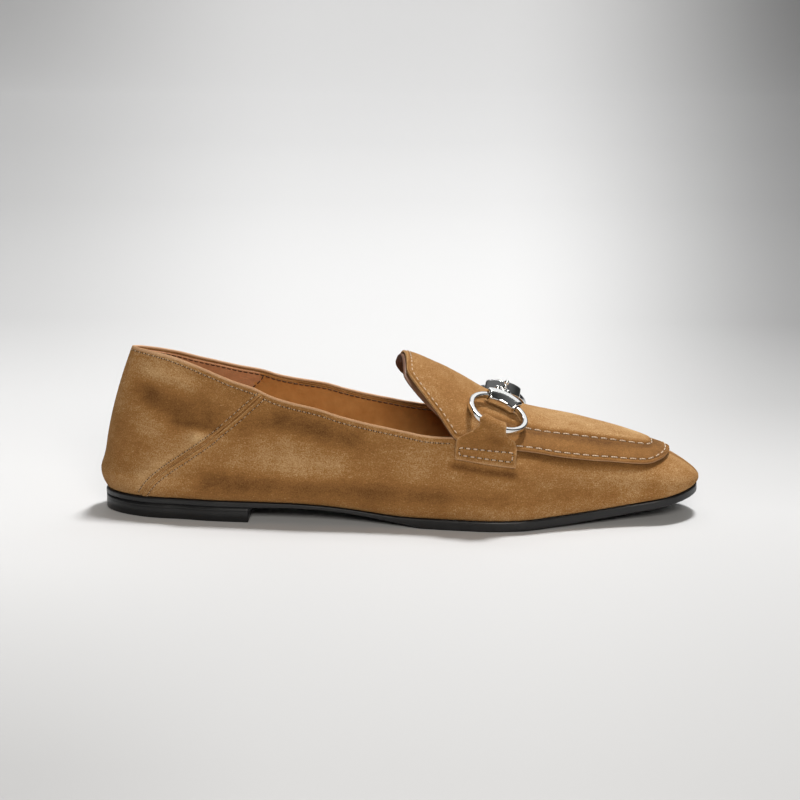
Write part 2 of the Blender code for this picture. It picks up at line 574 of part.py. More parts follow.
def build_ring(name, side):
    frame = ring_frame(side)
    section = band_section(RING_BAND, RING_RISE, RING_BAND * 0.25)
    loops = [around_ring(frame, 2 * math.pi * i / RING_STEPS, section) for i in range(RING_STEPS)]
    count = len(section)
    faces = [(i * count + j, i * count + (j + 1) % count,
              (i + 1) % RING_STEPS * count + (j + 1) % count, (i + 1) % RING_STEPS * count + j)
             for i in range(RING_STEPS) for j in range(count)]
    points = np.concatenate(loops)
    return add_piece(name, points, face_outwards(points, faces), **POLISHED)


def solid_box(middle, along, across, outwards, size):
    """Points and faces of a block with its own directions."""
    corners = [(a, b, c) for a in (-1, 1) for b in (-1, 1) for c in (-1, 1)]
    points = [middle + (along * a * size[0] + across * b * size[1] + outwards * c * size[2]) / 2 for a, b, c in corners]
    faces = [(0, 1, 3, 2), (4, 6, 7, 5), (0, 4, 5, 1), (2, 3, 7, 6), (0, 2, 6, 4), (1, 5, 7, 3)]
    return np.array(points), face_outwards(points, faces)


def ball(middle, radius, rings=6, around=8):
    angle = np.linspace(0, math.pi, rings + 1)[1:-1]
    turn = np.linspace(0, 2 * math.pi, around, endpoint=False)
    loops = [middle + radius * np.column_stack([math.sin(a) * np.cos(turn), math.sin(a) * np.sin(turn),
                                                np.full(around, math.cos(a))]) for a in angle]
    points = np.concatenate(loops + [[middle + (0, 0, radius), middle - (0, 0, radius)]])
    faces = grid_faces(len(loops), around, wrap=True)
    last = (len(loops) - 1) * around
    for j in range(around):
        k = (j + 1) % around
        faces.append((j, len(points) - 2, k))
        faces.append((last + j, last + k, len(points) - 1))
    return points, face_outwards(points, faces)


def rod(start, end, radius, around=8):
    along = unit(end - start)
    first = unit(np.cross(along, (0, 0, 1) if abs(along[2]) < 0.9 else (1, 0, 0)))
    second = np.cross(along, first)
    turn = np.linspace(0, 2 * math.pi, around, endpoint=False)
    ring = radius * (np.outer(np.cos(turn), first) + np.outer(np.sin(turn), second))
    points = np.concatenate([start + ring, end + ring])
    faces = grid_faces(2, around, wrap=True) + [tuple(range(around))[::-1], tuple(range(around, 2 * around))]
    return points, face_outwards(points, faces)


def fuse(piece, solids):
    """Joins further solids to a piece with Boolean unions, and keeps their shapes as hidden guides."""
    for i, (points, faces) in enumerate(solids):
        guide = add_piece(f"{piece.name}_guide_{i}", points, faces, **POLISHED)
        guide.hide_render = True
        guide.display_type = "WIRE"
        union = piece.modifiers.new(f"union_{i}", "BOOLEAN")
        union.operation = "UNION"
        union.solver = "EXACT"
        union.object = guide
        guide.parent = piece
    return piece


def link_middle():
    """Where the two arms meet, over the ridge and clear of the apron."""
    x = (ring_frame(LATERAL)[0][0] + ring_frame(MEDIAL)[0][0]) / 2
    lift = APRON_GAP + APRON_THICKNESS + LINK_CLEARANCE + LINK["ball"] * RING_DIAMETER
    return lifted(x, ridge_line(x), lift)


def build_bar(name, side):
    """Sleeve round the ring's upper side with a bore for the ring, and an arm that runs to the link."""
    frame = ring_frame(side)
    middle, along, across, outwards, radius = frame
    wide, high = RING_DIAMETER * BAR["sleeve_wide"], RING_DIAMETER * BAR["sleeve_high"]
    bore = band_section(RING_BAND + 2 * GAP, RING_RISE + 2 * GAP, RING_BAND / 5)
    outer, inner = [], []
    for i in range(-SLEEVE_STEPS, SLEEVE_STEPS + 1):
        angle = 2 * math.pi * i / RING_STEPS
        taper = 1 - BAR["sleeve_taper"] * (i / SLEEVE_STEPS) ** 2
        outer.append(around_ring(frame, angle, band_section(wide * taper, high * taper, wide / 5)))
        inner.append(around_ring(frame, angle, bore))
    rows, count = len(outer), len(bore)
    inside, last = rows * count, (rows - 1) * count
    faces = grid_faces(rows, count, wrap=True) + grid_faces(rows, count, start=inside, wrap=True, flip=True)
    for j in range(count):
        k = (j + 1) % count
        faces.append((k, j, inside + j, inside + k))
        faces.append((last + j, last + k, inside + last + k, inside + last + j))
    points = np.concatenate(outer + inner)
    piece = add_piece(name, points, face_outwards(points, faces), **POLISHED)
    # The arm starts inside the sleeve's wall and ends a gap from the link.
    start = middle + across * (radius + RING_BAND / 2 + GAP + (wide - RING_BAND) / 8)
    reach = link_middle() - start
    stop = start + reach * (1 - (RING_DIAMETER * LINK["wide"] / 2 + GAP) / abs(reach[1]))
    forward = unit(reach)
    sideways = unit(along - forward * np.dot(along, forward))
    size = (RING_DIAMETER * BAR["arm_wide"], np.linalg.norm(stop - start), RING_DIAMETER * BAR["arm_high"])
    arm = solid_box((start + stop) / 2, sideways, forward, np.cross(sideways, forward), size)
    return fuse(piece, [arm])


def build_link():
    """Block between the two arms, with a ball-ended cross pin and a short post with a ball on top."""
    middle = link_middle()
    ahead = ring_frame(LATERAL)[1]
    along, across = unit((ahead[0], 0.0, ahead[2])), np.array([0.0, 1.0, 0.0])
    up = unit(np.cross(along, across))
    long, wide, high, pin, ball_size, span, post = (LINK[key] * RING_DIAMETER for key in LINK)
    points, faces = solid_box(middle, along, across, up, (long, wide, high))
    piece = add_piece("bit_link", points, faces, **POLISHED)
    ends = (middle - along * span / 2, middle + along * span / 2)
    top = middle + up * post
    solids = [rod(*ends, pin), rod(middle, top, pin), ball(top, ball_size * TOP_BALL)]
    return fuse(piece, solids + [ball(end, ball_size) for end in ends])


def ring_low_point(side):
    middle, along, across, outwards, radius = ring_frame(side)
    return middle - across * radius


def build_tab(name, side):
    """Leather tab: its base lies over the vamp and the apron's edge, its neck turns round the ring."""
    middle, along, across, outwards, radius = ring_frame(side)
    tube = ring_low_point(side)
    steps = np.linspace(-1, 1, TAB_COLUMNS)
    angle = math.pi - steps * TAB_NECK / 2 / radius
    radial = np.outer(np.cos(angle), across) + np.outer(np.sin(angle), along)
    sheets = []
    for depth in (0.0, TAB_THICKNESS):
        curl = []
        for turn in np.radians(np.linspace(*TAB_CURL, TAB_CURL_ROWS)):
            away = radial * math.cos(turn) + outwards * math.sin(turn)
            curl.append(middle + radial * radius + away * (math.hypot(RING_BAND, RING_RISE) / 2 + GAP + depth))
        # The inner side's tab follows its ring down.
        base_x, lowered = TAB_STATION * SOLE_LENGTH, ring_low_point(LATERAL)[2] - tube[2]
        base = []
        for height, neck, drop, over_apron, rise in zip(*TAB_ROWS.values()):
            x = base_x + (tube[0] - base_x) * neck + steps * (TAB_WIDTH + (TAB_NECK - TAB_WIDTH) * neck) / 2
            z = sole_top(x) + INSTEP_HEIGHT * height - drop * (x - base_x) - lowered
            lift = GAP + (APRON_GAP + APRON_THICKNESS) * over_apron + depth
            on_vamp = lifted(x, vamp_side(x, z, side), lift)
            base.append(on_vamp + (curl[0] - on_vamp) * rise)
        sheets.append(np.stack(base + curl))
    points, faces = sheet_solid(*sheets)
    return add_piece(name, points, face_outwards(points, faces), **SUEDE)


def main():
    for old in list(bpy.data.objects):
        bpy.data.objects.remove(old)
    pieces = [build_outsole(), build_heel(), build_upper(), build_insole(), build_apron()]
    for name, side in (("lateral", LATERAL), ("medial", MEDIAL)):
        pieces += [build_ring(f"bit_ring_{name}", side), build_bar(f"bit_bar_{name}", side)]
        pieces += [build_tab(f"tab_{name}", side)]
    pieces += [build_link()]
    corners = np.concatenate([[v.co for v in piece.data.vertices] for piece in pieces])
    middle = (corners.min(0) + corners.max(0)) / 2
    for piece in pieces:
        piece.location = (-middle[0], -middle[1], 0.0)


main()
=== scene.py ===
# Looks of the suede bit loafer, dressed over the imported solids. Metres, +X to the toe, -Y to the outer side.

import math

import bmesh
import bpy
import numpy as np
from mathutils import Matrix, Vector


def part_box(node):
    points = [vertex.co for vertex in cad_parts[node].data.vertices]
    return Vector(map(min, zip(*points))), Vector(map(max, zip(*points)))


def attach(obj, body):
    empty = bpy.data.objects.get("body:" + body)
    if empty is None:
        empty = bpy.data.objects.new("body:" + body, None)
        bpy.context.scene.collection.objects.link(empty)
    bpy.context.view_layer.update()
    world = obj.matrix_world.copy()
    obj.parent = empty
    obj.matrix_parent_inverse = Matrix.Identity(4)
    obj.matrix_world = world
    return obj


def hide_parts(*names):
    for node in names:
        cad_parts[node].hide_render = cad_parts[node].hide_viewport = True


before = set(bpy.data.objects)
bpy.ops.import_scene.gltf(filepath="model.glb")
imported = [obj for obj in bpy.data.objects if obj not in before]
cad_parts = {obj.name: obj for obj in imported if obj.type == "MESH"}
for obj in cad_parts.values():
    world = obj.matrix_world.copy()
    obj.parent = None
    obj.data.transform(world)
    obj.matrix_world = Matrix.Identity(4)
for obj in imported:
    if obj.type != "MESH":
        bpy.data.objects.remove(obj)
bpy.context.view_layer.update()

# The last, in its own frame: x from the back of the sole, y from the middle line, z from the floor.
last = {
    "length": 0.2635, "ballWidth": 0.0785, "heelWidth": 0.0565, "heelHeight": 0.0092, "heelLength": 0.0662,
    "outsole": 0.0045, "waist": 0.0019, "spring": 0.0090, "instep": 0.0562, "back": 0.0634, "side": 0.0357,
    "opening": 0.0690, "lean": 0.0125, "ledge": 0.0008, "wall": 0.0018, "insole": 0.0020, "gap": 0.0003,
    "flare": (0.22, 0.62), "springStart": 0.665, "toeCap": 0.925, "heelCap": 0.115, "throat": 0.598,
}
lateral, medial = -1.0, 1.0
sideName = {lateral: "lateral", medial: "medial"}

solePlan = {
    "station": (0.00, 0.115, 0.20, 0.27, 0.34, 0.40, 0.47, 0.535, 0.60, 0.655, 0.70, 0.77, 0.835, 0.90, 1.00),
    "lateral": (0.375, 0.405, 0.480, 0.500, 0.490, 0.470, 0.458, 0.465, 0.488, 0.508, 0.498, 0.418, 0.350, 0.300, 0.268),
    "medial": (0.375, 0.405, 0.480, 0.490, 0.425, 0.380, 0.378, 0.410, 0.455, 0.487, 0.497, 0.470, 0.400, 0.312, 0.240),
    "middle": (0.00, 0.00, 0.00, 0.00, 0.00, 0.00, 0.00, 0.00, 0.000, 0.000, 0.002, 0.008, 0.014, 0.020, 0.026),
}
soleSide = {
    "station": (0.00, 0.245, 0.30, 0.335, 0.37, 0.405, 0.44, 0.47, 0.505, 0.545, 0.68, 0.82, 1.00),
    "arch": (1.00, 1.00, 0.98, 0.94, 0.84, 0.67, 0.45, 0.23, 0.06, 0.00, 0.00, 0.00, 0.00),
    "waist": (0.77, 0.77, 0.92, 0.98, 1.00, 1.00, 0.94, 0.84, 0.58, 0.00, 0.00, 0.20, 0.36),
}
sections = {
    "station": (0.00, 0.10, 0.25, 0.40, 0.50, 0.60, 0.70, 0.80, 0.90, 0.95, 1.00),
    "overLateral": (0.028, 0.028, 0.030, 0.040, 0.034, 0.020, 0.012, 0.010, 0.010, 0.010, 0.010),
    "overMedial": (0.028, 0.028, 0.032, 0.048, 0.042, 0.022, 0.012, 0.010, 0.010, 0.010, 0.010),
    "rise": (0.155, 0.160, 0.185, 0.235, 0.235, 0.200, 0.170, 0.130, 0.085, 0.060, 0.045),
    "lateral": (2.0, 2.0, 2.0, 2.0, 2.1, 2.3, 2.35, 2.25, 2.1, 2.0, 2.0),
    "medial": (2.0, 2.0, 2.0, 2.0, 1.97, 1.93, 1.93, 2.0, 2.0, 2.0, 2.0),
    "top": (2.0, 2.0, 2.0, 2.0, 2.1, 2.3, 2.35, 2.25, 2.1, 2.0, 2.0),
    "lean": (1.60, 1.60, 1.60, 1.75, 2.00, 2.20, 2.20, 2.20, 2.20, 2.20, 2.20),
    "seat": (0.11, 0.11, 0.07, 0.02, 0.00, 0.00, 0.00, 0.00, 0.00, 0.00, 0.00),
}
ridge = {
    "station": (0.47, 0.505, 0.56, 0.60, 0.64, 0.70, 0.742, 0.782, 0.822, 0.863, 0.903, 0.925, 0.960, 1.00),
    "crown": (1.165, 1.155, 1.056, 0.952, 0.832, 0.702, 0.652, 0.607, 0.549, 0.482, 0.402, 0.352, 0.279, 0.195),
    "inwards": (0.0, 0.005, 0.025, 0.045, 0.060, 0.060, 0.055, 0.048, 0.040, 0.030, 0.018, 0.012, 0.004, 0.0),
}
toplinePlan = {
    "station": (0.0, 0.065, 0.13, 0.19, 0.25, 0.315, 0.385, 0.445, 0.50, 0.585, 0.645, 0.715, 0.785, 0.85, 0.92, 1.0),
    "height": (1.0, 0.946, 0.877, 0.783, 0.682, 0.570, 0.473, 0.350, 0.285, 0.220, 0.155, 0.112, 0.090, 0.054, 0.010, 0.0),
    "lateral": (0.030, 0.076, 0.108, 0.141, 0.188, 0.239, 0.283, 0.319, 0.348, 0.384, 0.402, 0.420, 0.439, 0.457, 0.475, 0.497),
    "medial": (0.030, 0.076, 0.108, 0.141, 0.188, 0.239, 0.275, 0.300, 0.315, 0.333, 0.345, 0.362, 0.382, 0.405, 0.440, 0.480),
    "lift": (0.0, 0.0, 0.0, 0.0, 0.005, 0.010, 0.020, 0.035, 0.040, 0.042, 0.040, 0.032, 0.022, 0.010, 0.0, 0.0),
}


def share(table, column, station):
    # reads a table along a smooth curve of cubic pieces that keeps each rise and fall
    x, y = np.asarray(table["station"], float), np.asarray(table[column], float)
    step = np.diff(x)
    slope = np.diff(y) / step
    tangent = np.zeros(len(x))
    tangent[0], tangent[-1] = slope[0], slope[-1]
    sameWay = slope[:-1] * slope[1:] > 0
    pair = np.where(sameWay, slope[:-1] + slope[1:], 1.0)
    tangent[1:-1] = np.where(sameWay, 2 * slope[:-1] * slope[1:] / pair, 0.0)
    s = np.clip(np.asarray(station, float), x[0], x[-1])
    i = np.clip(np.searchsorted(x, s, side="right") - 1, 0, len(x) - 2)
    t = (s - x[i]) / step[i]
    ends = y[i] * (1 + 2 * t) * (1 - t) ** 2 + y[i + 1] * t**2 * (3 - 2 * t)
    return ends + step[i] * (tangent[i] * t * (1 - t) ** 2 - tangent[i + 1] * t**2 * (1 - t))


def smoothStep(value, low, high):
    t = np.clip((np.asarray(value, float) - low) / (high - low), 0.0, 1.0)
    return t * t * (3 - 2 * t)


def roundEnd(station, start, end, power):
    # 1 up to start, then down to 0 at end along a superellipse
    t = np.clip((np.asarray(station, float) - start) / (end - start), 0.0, 1.0)
    return (1 - t**power) ** (1 / power)


def bell(distance, width):
    return np.exp(-((distance / width) ** 2))


def soleTop(x):
    station = x / last["length"]
    spring = np.clip((station - last["springStart"]) / (1 - last["springStart"]), 0.0, None) ** 2
    arch = (last["heelHeight"] - last["outsole"]) * share(soleSide, "arch", station)
    return last["outsole"] + arch + last["spring"] * spring


def soleBottom(x):
    thin = share(soleSide, "waist", x / last["length"])
    return soleTop(x) - last["outsole"] - (last["waist"] - last["outsole"]) * thin


def middleLine(x):
    return last["ballWidth"] * share(solePlan, "middle", x / last["length"])


def outline(side, offset, count=400):
    # plan of the sole's edge on one side, heel to toe, moved square to itself by offset(x)
    x = last["length"] * (1 - np.cos(np.linspace(0, math.pi, count))) / 2
    station = x / last["length"]
    width = last["heelWidth"] + (last["ballWidth"] - last["heelWidth"]) * smoothStep(station, *last["flare"])
    ends = roundEnd(1 - station, 1 - last["heelCap"], 1.0, 1.85) * roundEnd(station, last["toeCap"], 1.0, 2.0)
    y = middleLine(x) + side * width * share(solePlan, sideName[side], station) * ends
    along = np.stack([np.gradient(x), np.gradient(y)], 1)
    along[0], along[-1] = (0, side), (0, -side)
    along /= np.linalg.norm(along, axis=1)[:, None]
    moved = np.stack([x, y], 1) + np.stack([-side * along[:, 1], side * along[:, 0]], 1) * (offset + 0 * x)[:, None]
    run = np.concatenate([[0], np.cumsum(np.hypot(np.diff(x), np.diff(y)))])
    return moved[:, 0], moved[:, 1], run / run[-1]


def overhang(side):
    # outline of the last's widest line
    x = last["length"] * (1 - np.cos(np.linspace(0, math.pi, 400))) / 2
    return outline(side, last["ballWidth"] * share(sections, "over" + sideName[side].title(), x / last["length"]))


widestLine = {side: overhang(side) for side in (lateral, medial)}


def ridgeLine(x):
    return middleLine(x) + last["ballWidth"] * share(ridge, "inwards", x / last["length"])


def widestHalf(x, side):
    return np.abs(np.interp(x, widestLine[side][0], widestLine[side][1]) - ridgeLine(x))


def widestHeight(x):
    return soleTop(x) + last["instep"] * share(sections, "rise", x / last["length"])


def ridgeHeight(x):
    low, tip = widestHeight(x), widestLine[lateral][0][-1]
    crown = soleTop(x) + last["instep"] * share(ridge, "crown", x / last["length"])
    return low + (crown - low) * roundEnd(x / tip, last["toeCap"], 1.0, 1.85)


def vampHeight(x, y):
    # an arch across the shoe: 1 at the ridge, 0 at the widest line, along a superellipse
    station, outer = x / last["length"], y < ridgeLine(x)
    width = np.where(outer, widestHalf(x, lateral), widestHalf(x, medial))
    reach = np.clip(np.abs(y - ridgeLine(x)) / np.maximum(width, 1e-6), 0.0, 1.0)
    power = np.where(outer, share(sections, "lateral", station), share(sections, "medial", station))
    arch = (1 - reach**power) ** (1 / share(sections, "top", station))
    return widestHeight(x) + (ridgeHeight(x) - widestHeight(x)) * arch


def vampSide(x, z, side):
    station = x / last["length"]
    arch = np.clip((z - widestHeight(x)) / (ridgeHeight(x) - widestHeight(x)), 0.0, 1.0)
    reach = (1 - arch ** share(sections, "top", station)) ** (1 / share(sections, sideName[side], station))
    return ridgeLine(x) + side * widestHalf(x, side) * reach


def lifted(x, y, height):
    # points of the plan on the vamp, moved out square to it
    x, y = np.broadcast_arrays(np.asarray(x, float), np.asarray(y, float))
    step = 0.0004
    slopeX = (vampHeight(x + step, y) - vampHeight(x - step, y)) / (2 * step)
    slopeY = (vampHeight(x, y + step) - vampHeight(x, y - step)) / (2 * step)
    normal = np.stack([-slopeX, -slopeY, np.ones_like(slopeX)], -1)
    normal /= np.linalg.norm(normal, axis=-1)[..., None]
    return np.stack([x, y, vampHeight(x, y)], -1) + normal * np.asarray(height)[..., None]


# The solids were moved so that their footprint's middle is the origin.
origin = np.array([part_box("outsole")[0].x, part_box("outsole")[0].y - outline(lateral, 0.0)[1].min(), 0.0])


def unit(vector):
    vector = np.asarray(vector, float)
    return vector / np.linalg.norm(vector, axis=-1)[..., None]


def gridQuads(rows, columns, start=0, wrap=False, wrapRows=False):
    down, across = np.arange(rows if wrapRows else rows - 1), np.arange(columns if wrap else columns - 1)
    i, j = np.meshgrid(down, across, indexing="ij")
    k, m = (j + 1) % columns, (i + 1) % rows
    return start + np.stack([i * columns + j, i * columns + k, m * columns + k, m * columns + j], -1).reshape(-1, 4)


def netNormals(net, wrap=False):
    around = np.roll(net, -1, axis=1) - np.roll(net, 1, axis=1) if wrap else np.gradient(net, axis=1)
    return unit(np.cross(around, np.gradient(net, axis=0)) + 1e-15)


def sheetShell(low, high):
    # closed sheet between two nets of the same size, with a strip of quads round its rim
    rows, columns = low.shape[:2]
    count = rows * columns
    index = np.arange(count).reshape(rows, columns)
    rim = np.concatenate([index[0, :-1], index[:-1, -1], index[-1, :0:-1], index[:0:-1, 0]])
    after = np.roll(rim, -1)
    sides = np.stack([after + count, rim + count, rim, after], -1)
    quads = np.concatenate([gridQuads(rows, columns)[:, ::-1], gridQuads(rows, columns, count), sides])
    return np.concatenate([low.reshape(-1, 3), high.reshape(-1, 3)]), quads


def edgeDistance(net):
    # way along the net from each point to the nearest of its four edges
    across = np.linalg.norm(np.diff(net, axis=1), axis=-1).cumsum(axis=1)
    down = np.linalg.norm(np.diff(net, axis=0), axis=-1).cumsum(axis=0)
    across = np.concatenate([np.zeros((len(net), 1)), across], 1)
    down = np.concatenate([np.zeros((1, net.shape[1])), down], 0)
    return np.minimum(np.minimum(across, across[:, -1:] - across), np.minimum(down, down[-1:] - down))


def edgeSteps(count, near):
    # even shares from 0 to 1, with more of them inside the rounded edge
    lip = near * np.array([0.0, 0.1, 0.28, 0.6])
    return np.concatenate([lip, np.linspace(near, 1 - near, count), 1 - lip[::-1]])


def roundedSheet(net, normals, thickness, radius, base=0.0, lift=0.0):
    # sheet of leather on a net, its edges rounded by the circle's formula over radius
    away = 1 - np.clip(edgeDistance(net) / radius, 0.0, 1.0)
    half = thickness / 2 * np.maximum(np.sqrt(1 - away**2), 0.12)
    middle = base + thickness / 2
    low = net + normals * (middle - half)[..., None]
    return low, net + normals * (middle + half + lift)[..., None]


def loopCaps(start, count, flip):
    # strips of quads across a loop whose two halves face each other
    j = np.arange(count // 2 - 1)
    quads = start + np.stack([j, j + 1, count - 2 - j, count - 1 - j], -1)
    return quads[:, ::-1] if flip else quads


def sweep(middles, first, second, section, scale=None):
    # carries a closed section along a path: point = middle + first * a + second * b
    scale = np.ones(len(middles)) if scale is None else scale
    across = first[:, None] * section[None, :, :1] + second[:, None] * section[None, :, 1:]
    points = middles[:, None] + across * scale[:, None, None]
    rows, count = points.shape[:2]
    quads = [gridQuads(rows, count, wrap=True), loopCaps(0, count, True), loopCaps((rows - 1) * count, count, False)]
    return points.reshape(-1, 3), np.concatenate(quads)


def roundedBand(wide, high, corner, steps=5):
    # rounded rectangle, anticlockwise, with a supporting point beside each corner
    turn = np.linspace(0, math.pi / 2, steps)
    loops = []
    for i, (a, b) in enumerate(((1, 1), (-1, 1), (-1, -1), (1, -1))):
        arc = np.stack([np.cos(turn + i * math.pi / 2), np.sin(turn + i * math.pi / 2)], 1) * corner
        arc = arc + (a * (wide / 2 - corner), b * (high / 2 - corner))
        before, after = arc[0] - (arc[1] - arc[0]) * 1.2, arc[-1] + (arc[-1] - arc[-2]) * 1.2
        loops += [before[None], arc, after[None]]
    return np.concatenate(loops)


def joinParts(parts):
    points, quads, start = [], [], 0
    for partPoints, partQuads in parts:
        points.append(partPoints)
        quads.append(partQuads + start)
        start += len(partPoints)
    return np.concatenate(points), np.concatenate(quads)


def meshVolume(points, quads):
    a, b, c, d = (points[quads[:, i]] for i in range(4))
    return (np.einsum("ij,ij->i", a, np.cross(b, c)) + np.einsum("ij,ij->i", a, np.cross(c, d))).sum()


def makePiece(name, shape, material, replaces=(), values=None, weld=False):
    # one named object from points and quads in the last's frame, turned to face outwards
    points, quads = shape
    if meshVolume(points - points.mean(0), quads) < 0:
        quads = quads[:, ::-1]
    mesh = bpy.data.meshes.new(name)
    mesh.vertices.add(len(points))
    mesh.vertices.foreach_set("co", (points + origin).astype(np.float32).ravel())
    mesh.loops.add(quads.size)
    mesh.loops.foreach_set("vertex_index", quads.astype(np.int32).ravel())
    mesh.polygons.add(len(quads))
    mesh.polygons.foreach_set("loop_start", np.arange(0, quads.size, 4, dtype=np.int32))
    mesh.update(calc_edges=True)
    for key, value in (values or {}).items():
        mesh.attributes.new(key, "FLOAT", "POINT").data.foreach_set("value", value.astype(np.float32).ravel())
    if weld:
        work = bmesh.new()
        work.from_mesh(mesh)
        bmesh.ops.remove_doubles(work, verts=work.verts, dist=0.000002)
        bmesh.ops.dissolve_degenerate(work, edges=work.edges, dist=0.000001)
        bmesh.ops.recalc_face_normals(work, faces=work.faces)
        work.to_mesh(mesh)
        work.free()
    mesh.validate()
    mesh.shade_smooth()
    piece = bpy.data.objects.new(name, mesh)
    bpy.context.scene.collection.objects.link(piece)
    mesh.materials.append(material)
    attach(piece, "root")
    if replaces:
        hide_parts(*replaces)
    return piece


# Materials. Each effect that several of them share is a group.
def srgb(red, green, blue):
    value = np.array([red, green, blue]) / 255
    return (*np.where(value < 0.04045, value / 12.92, ((value + 0.055) / 1.055) ** 2.4), 1.0)


def addNode(tree, kind, inputs=None, **settings):
    node = tree.nodes.new(kind)
    for key, value in settings.items():
        setattr(node, key, value)
    for key, value in (inputs or {}).items():
        if isinstance(value, bpy.types.NodeSocket):
            tree.links.new(value, node.inputs[key])
        else:
            node.inputs[key].default_value = value
    return node


def maths(tree, operation, a, b=0.0, c=0.0):
    return addNode(tree, "ShaderNodeMath", {0: a, 1: b, 2: c}, operation=operation).outputs[0]


def mixColours(tree, factor, a, b, blend="MIX"):
    node = addNode(tree, "ShaderNodeMix", {0: factor, 6: a, 7: b}, data_type="RGBA", blend_type=blend)
    return node.outputs[2]


def newGroup(name, inputs, outputs):
    tree = bpy.data.node_groups.new(name, "ShaderNodeTree")
    for label, (kind, value) in inputs.items():
        socket = tree.interface.new_socket(label, in_out="INPUT", socket_type="NodeSocket" + kind)
        if value is not None:
            socket.default_value = value
    for label, kind in outputs.items():
        tree.interface.new_socket(label, in_out="OUTPUT", socket_type="NodeSocket" + kind)
    return tree, tree.nodes.new("NodeGroupInput").outputs, tree.nodes.new("NodeGroupOutput").inputs


def placedGroup(tree, group, inputs):
    return addNode(tree, "ShaderNodeGroup", inputs, node_tree=group)


def makeNapGroup():
    # brushed nap: fine fibres, stroked patches and wide clouds, each from noise on Object coordinates
    tree, given, out = newGroup(
        "napEffect",
        {"Vector": ("Vector", None), "Fibre Scale": ("Float", 2000.0), "Patch Scale": ("Float", 190.0),
         "Cloud Scale": ("Float", 34.0)},
        {"Shade": "Float", "Height": "Float"},
    )
    vector = given["Vector"]
    fibre = addNode(tree, "ShaderNodeTexNoise", {"Vector": vector, "Scale": given["Fibre Scale"], "Detail": 5.0, "Roughness": 0.7})
    stroke = addNode(tree, "ShaderNodeMapping", {"Vector": vector, "Rotation": (0.3, 0.5, 0.4), "Scale": (1.0, 1.0, 2.6)})
    patch = addNode(tree, "ShaderNodeTexNoise", {"Vector": stroke.outputs[0], "Scale": given["Patch Scale"], "Detail": 6.0,
                                                 "Roughness": 0.62, "Distortion": 0.7})
    cloud = addNode(tree, "ShaderNodeTexNoise", {"Vector": vector, "Scale": given["Cloud Scale"], "Detail": 3.0, "Roughness": 0.5,
                                                 "Distortion": 0.5})
    fine = maths(tree, "SUBTRACT", fibre.outputs["Fac"], 0.5)
    middle = maths(tree, "SUBTRACT", patch.outputs["Fac"], 0.5)
    wide = maths(tree, "SUBTRACT", cloud.outputs["Fac"], 0.5)
    # a few pale fibres stand up out of the rest
    lint = addNode(tree, "ShaderNodeTexNoise", {"Vector": stroke.outputs[0], "Scale": 560.0, "Detail": 2.0, "Roughness": 0.5})
    loose = addNode(tree, "ShaderNodeMapRange", {"Value": lint.outputs["Fac"], "From Min": 0.63, "From Max": 0.78,
                                                 "To Max": 0.22})
    shade = maths(tree, "MULTIPLY_ADD", middle, 0.34, maths(tree, "MULTIPLY", wide, 0.50))
    shade = maths(tree, "MULTIPLY_ADD", fine, 1.15, shade)
    tree.links.new(maths(tree, "ADD", shade, loose.outputs[0]), out["Shade"])
    tree.links.new(maths(tree, "MULTIPLY_ADD", middle, 0.35, fine), out["Height"])
    return tree


def makeGrainGroup():
    # leather grain: soft cells with a fine noise between them
    tree, given, out = newGroup(
        "grainEffect", {"Vector": ("Vector", None), "Cell Scale": ("Float", 900.0)}, {"Shade": "Float", "Height": "Float"}
    )
    cells = addNode(tree, "ShaderNodeTexVoronoi", {"Vector": given["Vector"], "Scale": given["Cell Scale"]}, feature="SMOOTH_F1")
    noise = addNode(tree, "ShaderNodeTexNoise", {"Vector": given["Vector"], "Scale": 240.0, "Detail": 5.0})
    tree.links.new(maths(tree, "SUBTRACT", noise.outputs["Fac"], 0.5), out["Shade"])
    tree.links.new(maths(tree, "MULTIPLY_ADD", noise.outputs["Fac"], 0.4, cells.outputs["Distance"]), out["Height"])
    return tree


napEffect, grainEffect = makeNapGroup(), makeGrainGroup()


def newMaterial(name, roughness, **constants):
    material = bpy.data.materials.new(name)
    material.use_nodes = True
    tree = material.node_tree
    surface = tree.nodes["Principled BSDF"]
    surface.inputs["Roughness"].default_value = roughness
    for key, value in constants.items():
        surface.inputs[key].default_value = value
    return material, tree, surface


def bumped(tree, surface, height, distance, strength=1.0):
    bump = addNode(tree, "ShaderNodeBump", {"Height": height, "Distance": distance, "Strength": strength})
    tree.links.new(bump.outputs["Normal"], surface.inputs["Normal"])


suedeLook = {
    # dark and light end the ramp along which the tone's painted shade and painted highlight move, as does the nap's own
    # tone
    "dark": srgb(88, 55, 25), "body": srgb(150, 105, 57), "light": srgb(216, 182, 134), "rawEdge": srgb(216, 176, 142),
    "nap": 0.00018, "sheen": 0.22,
}


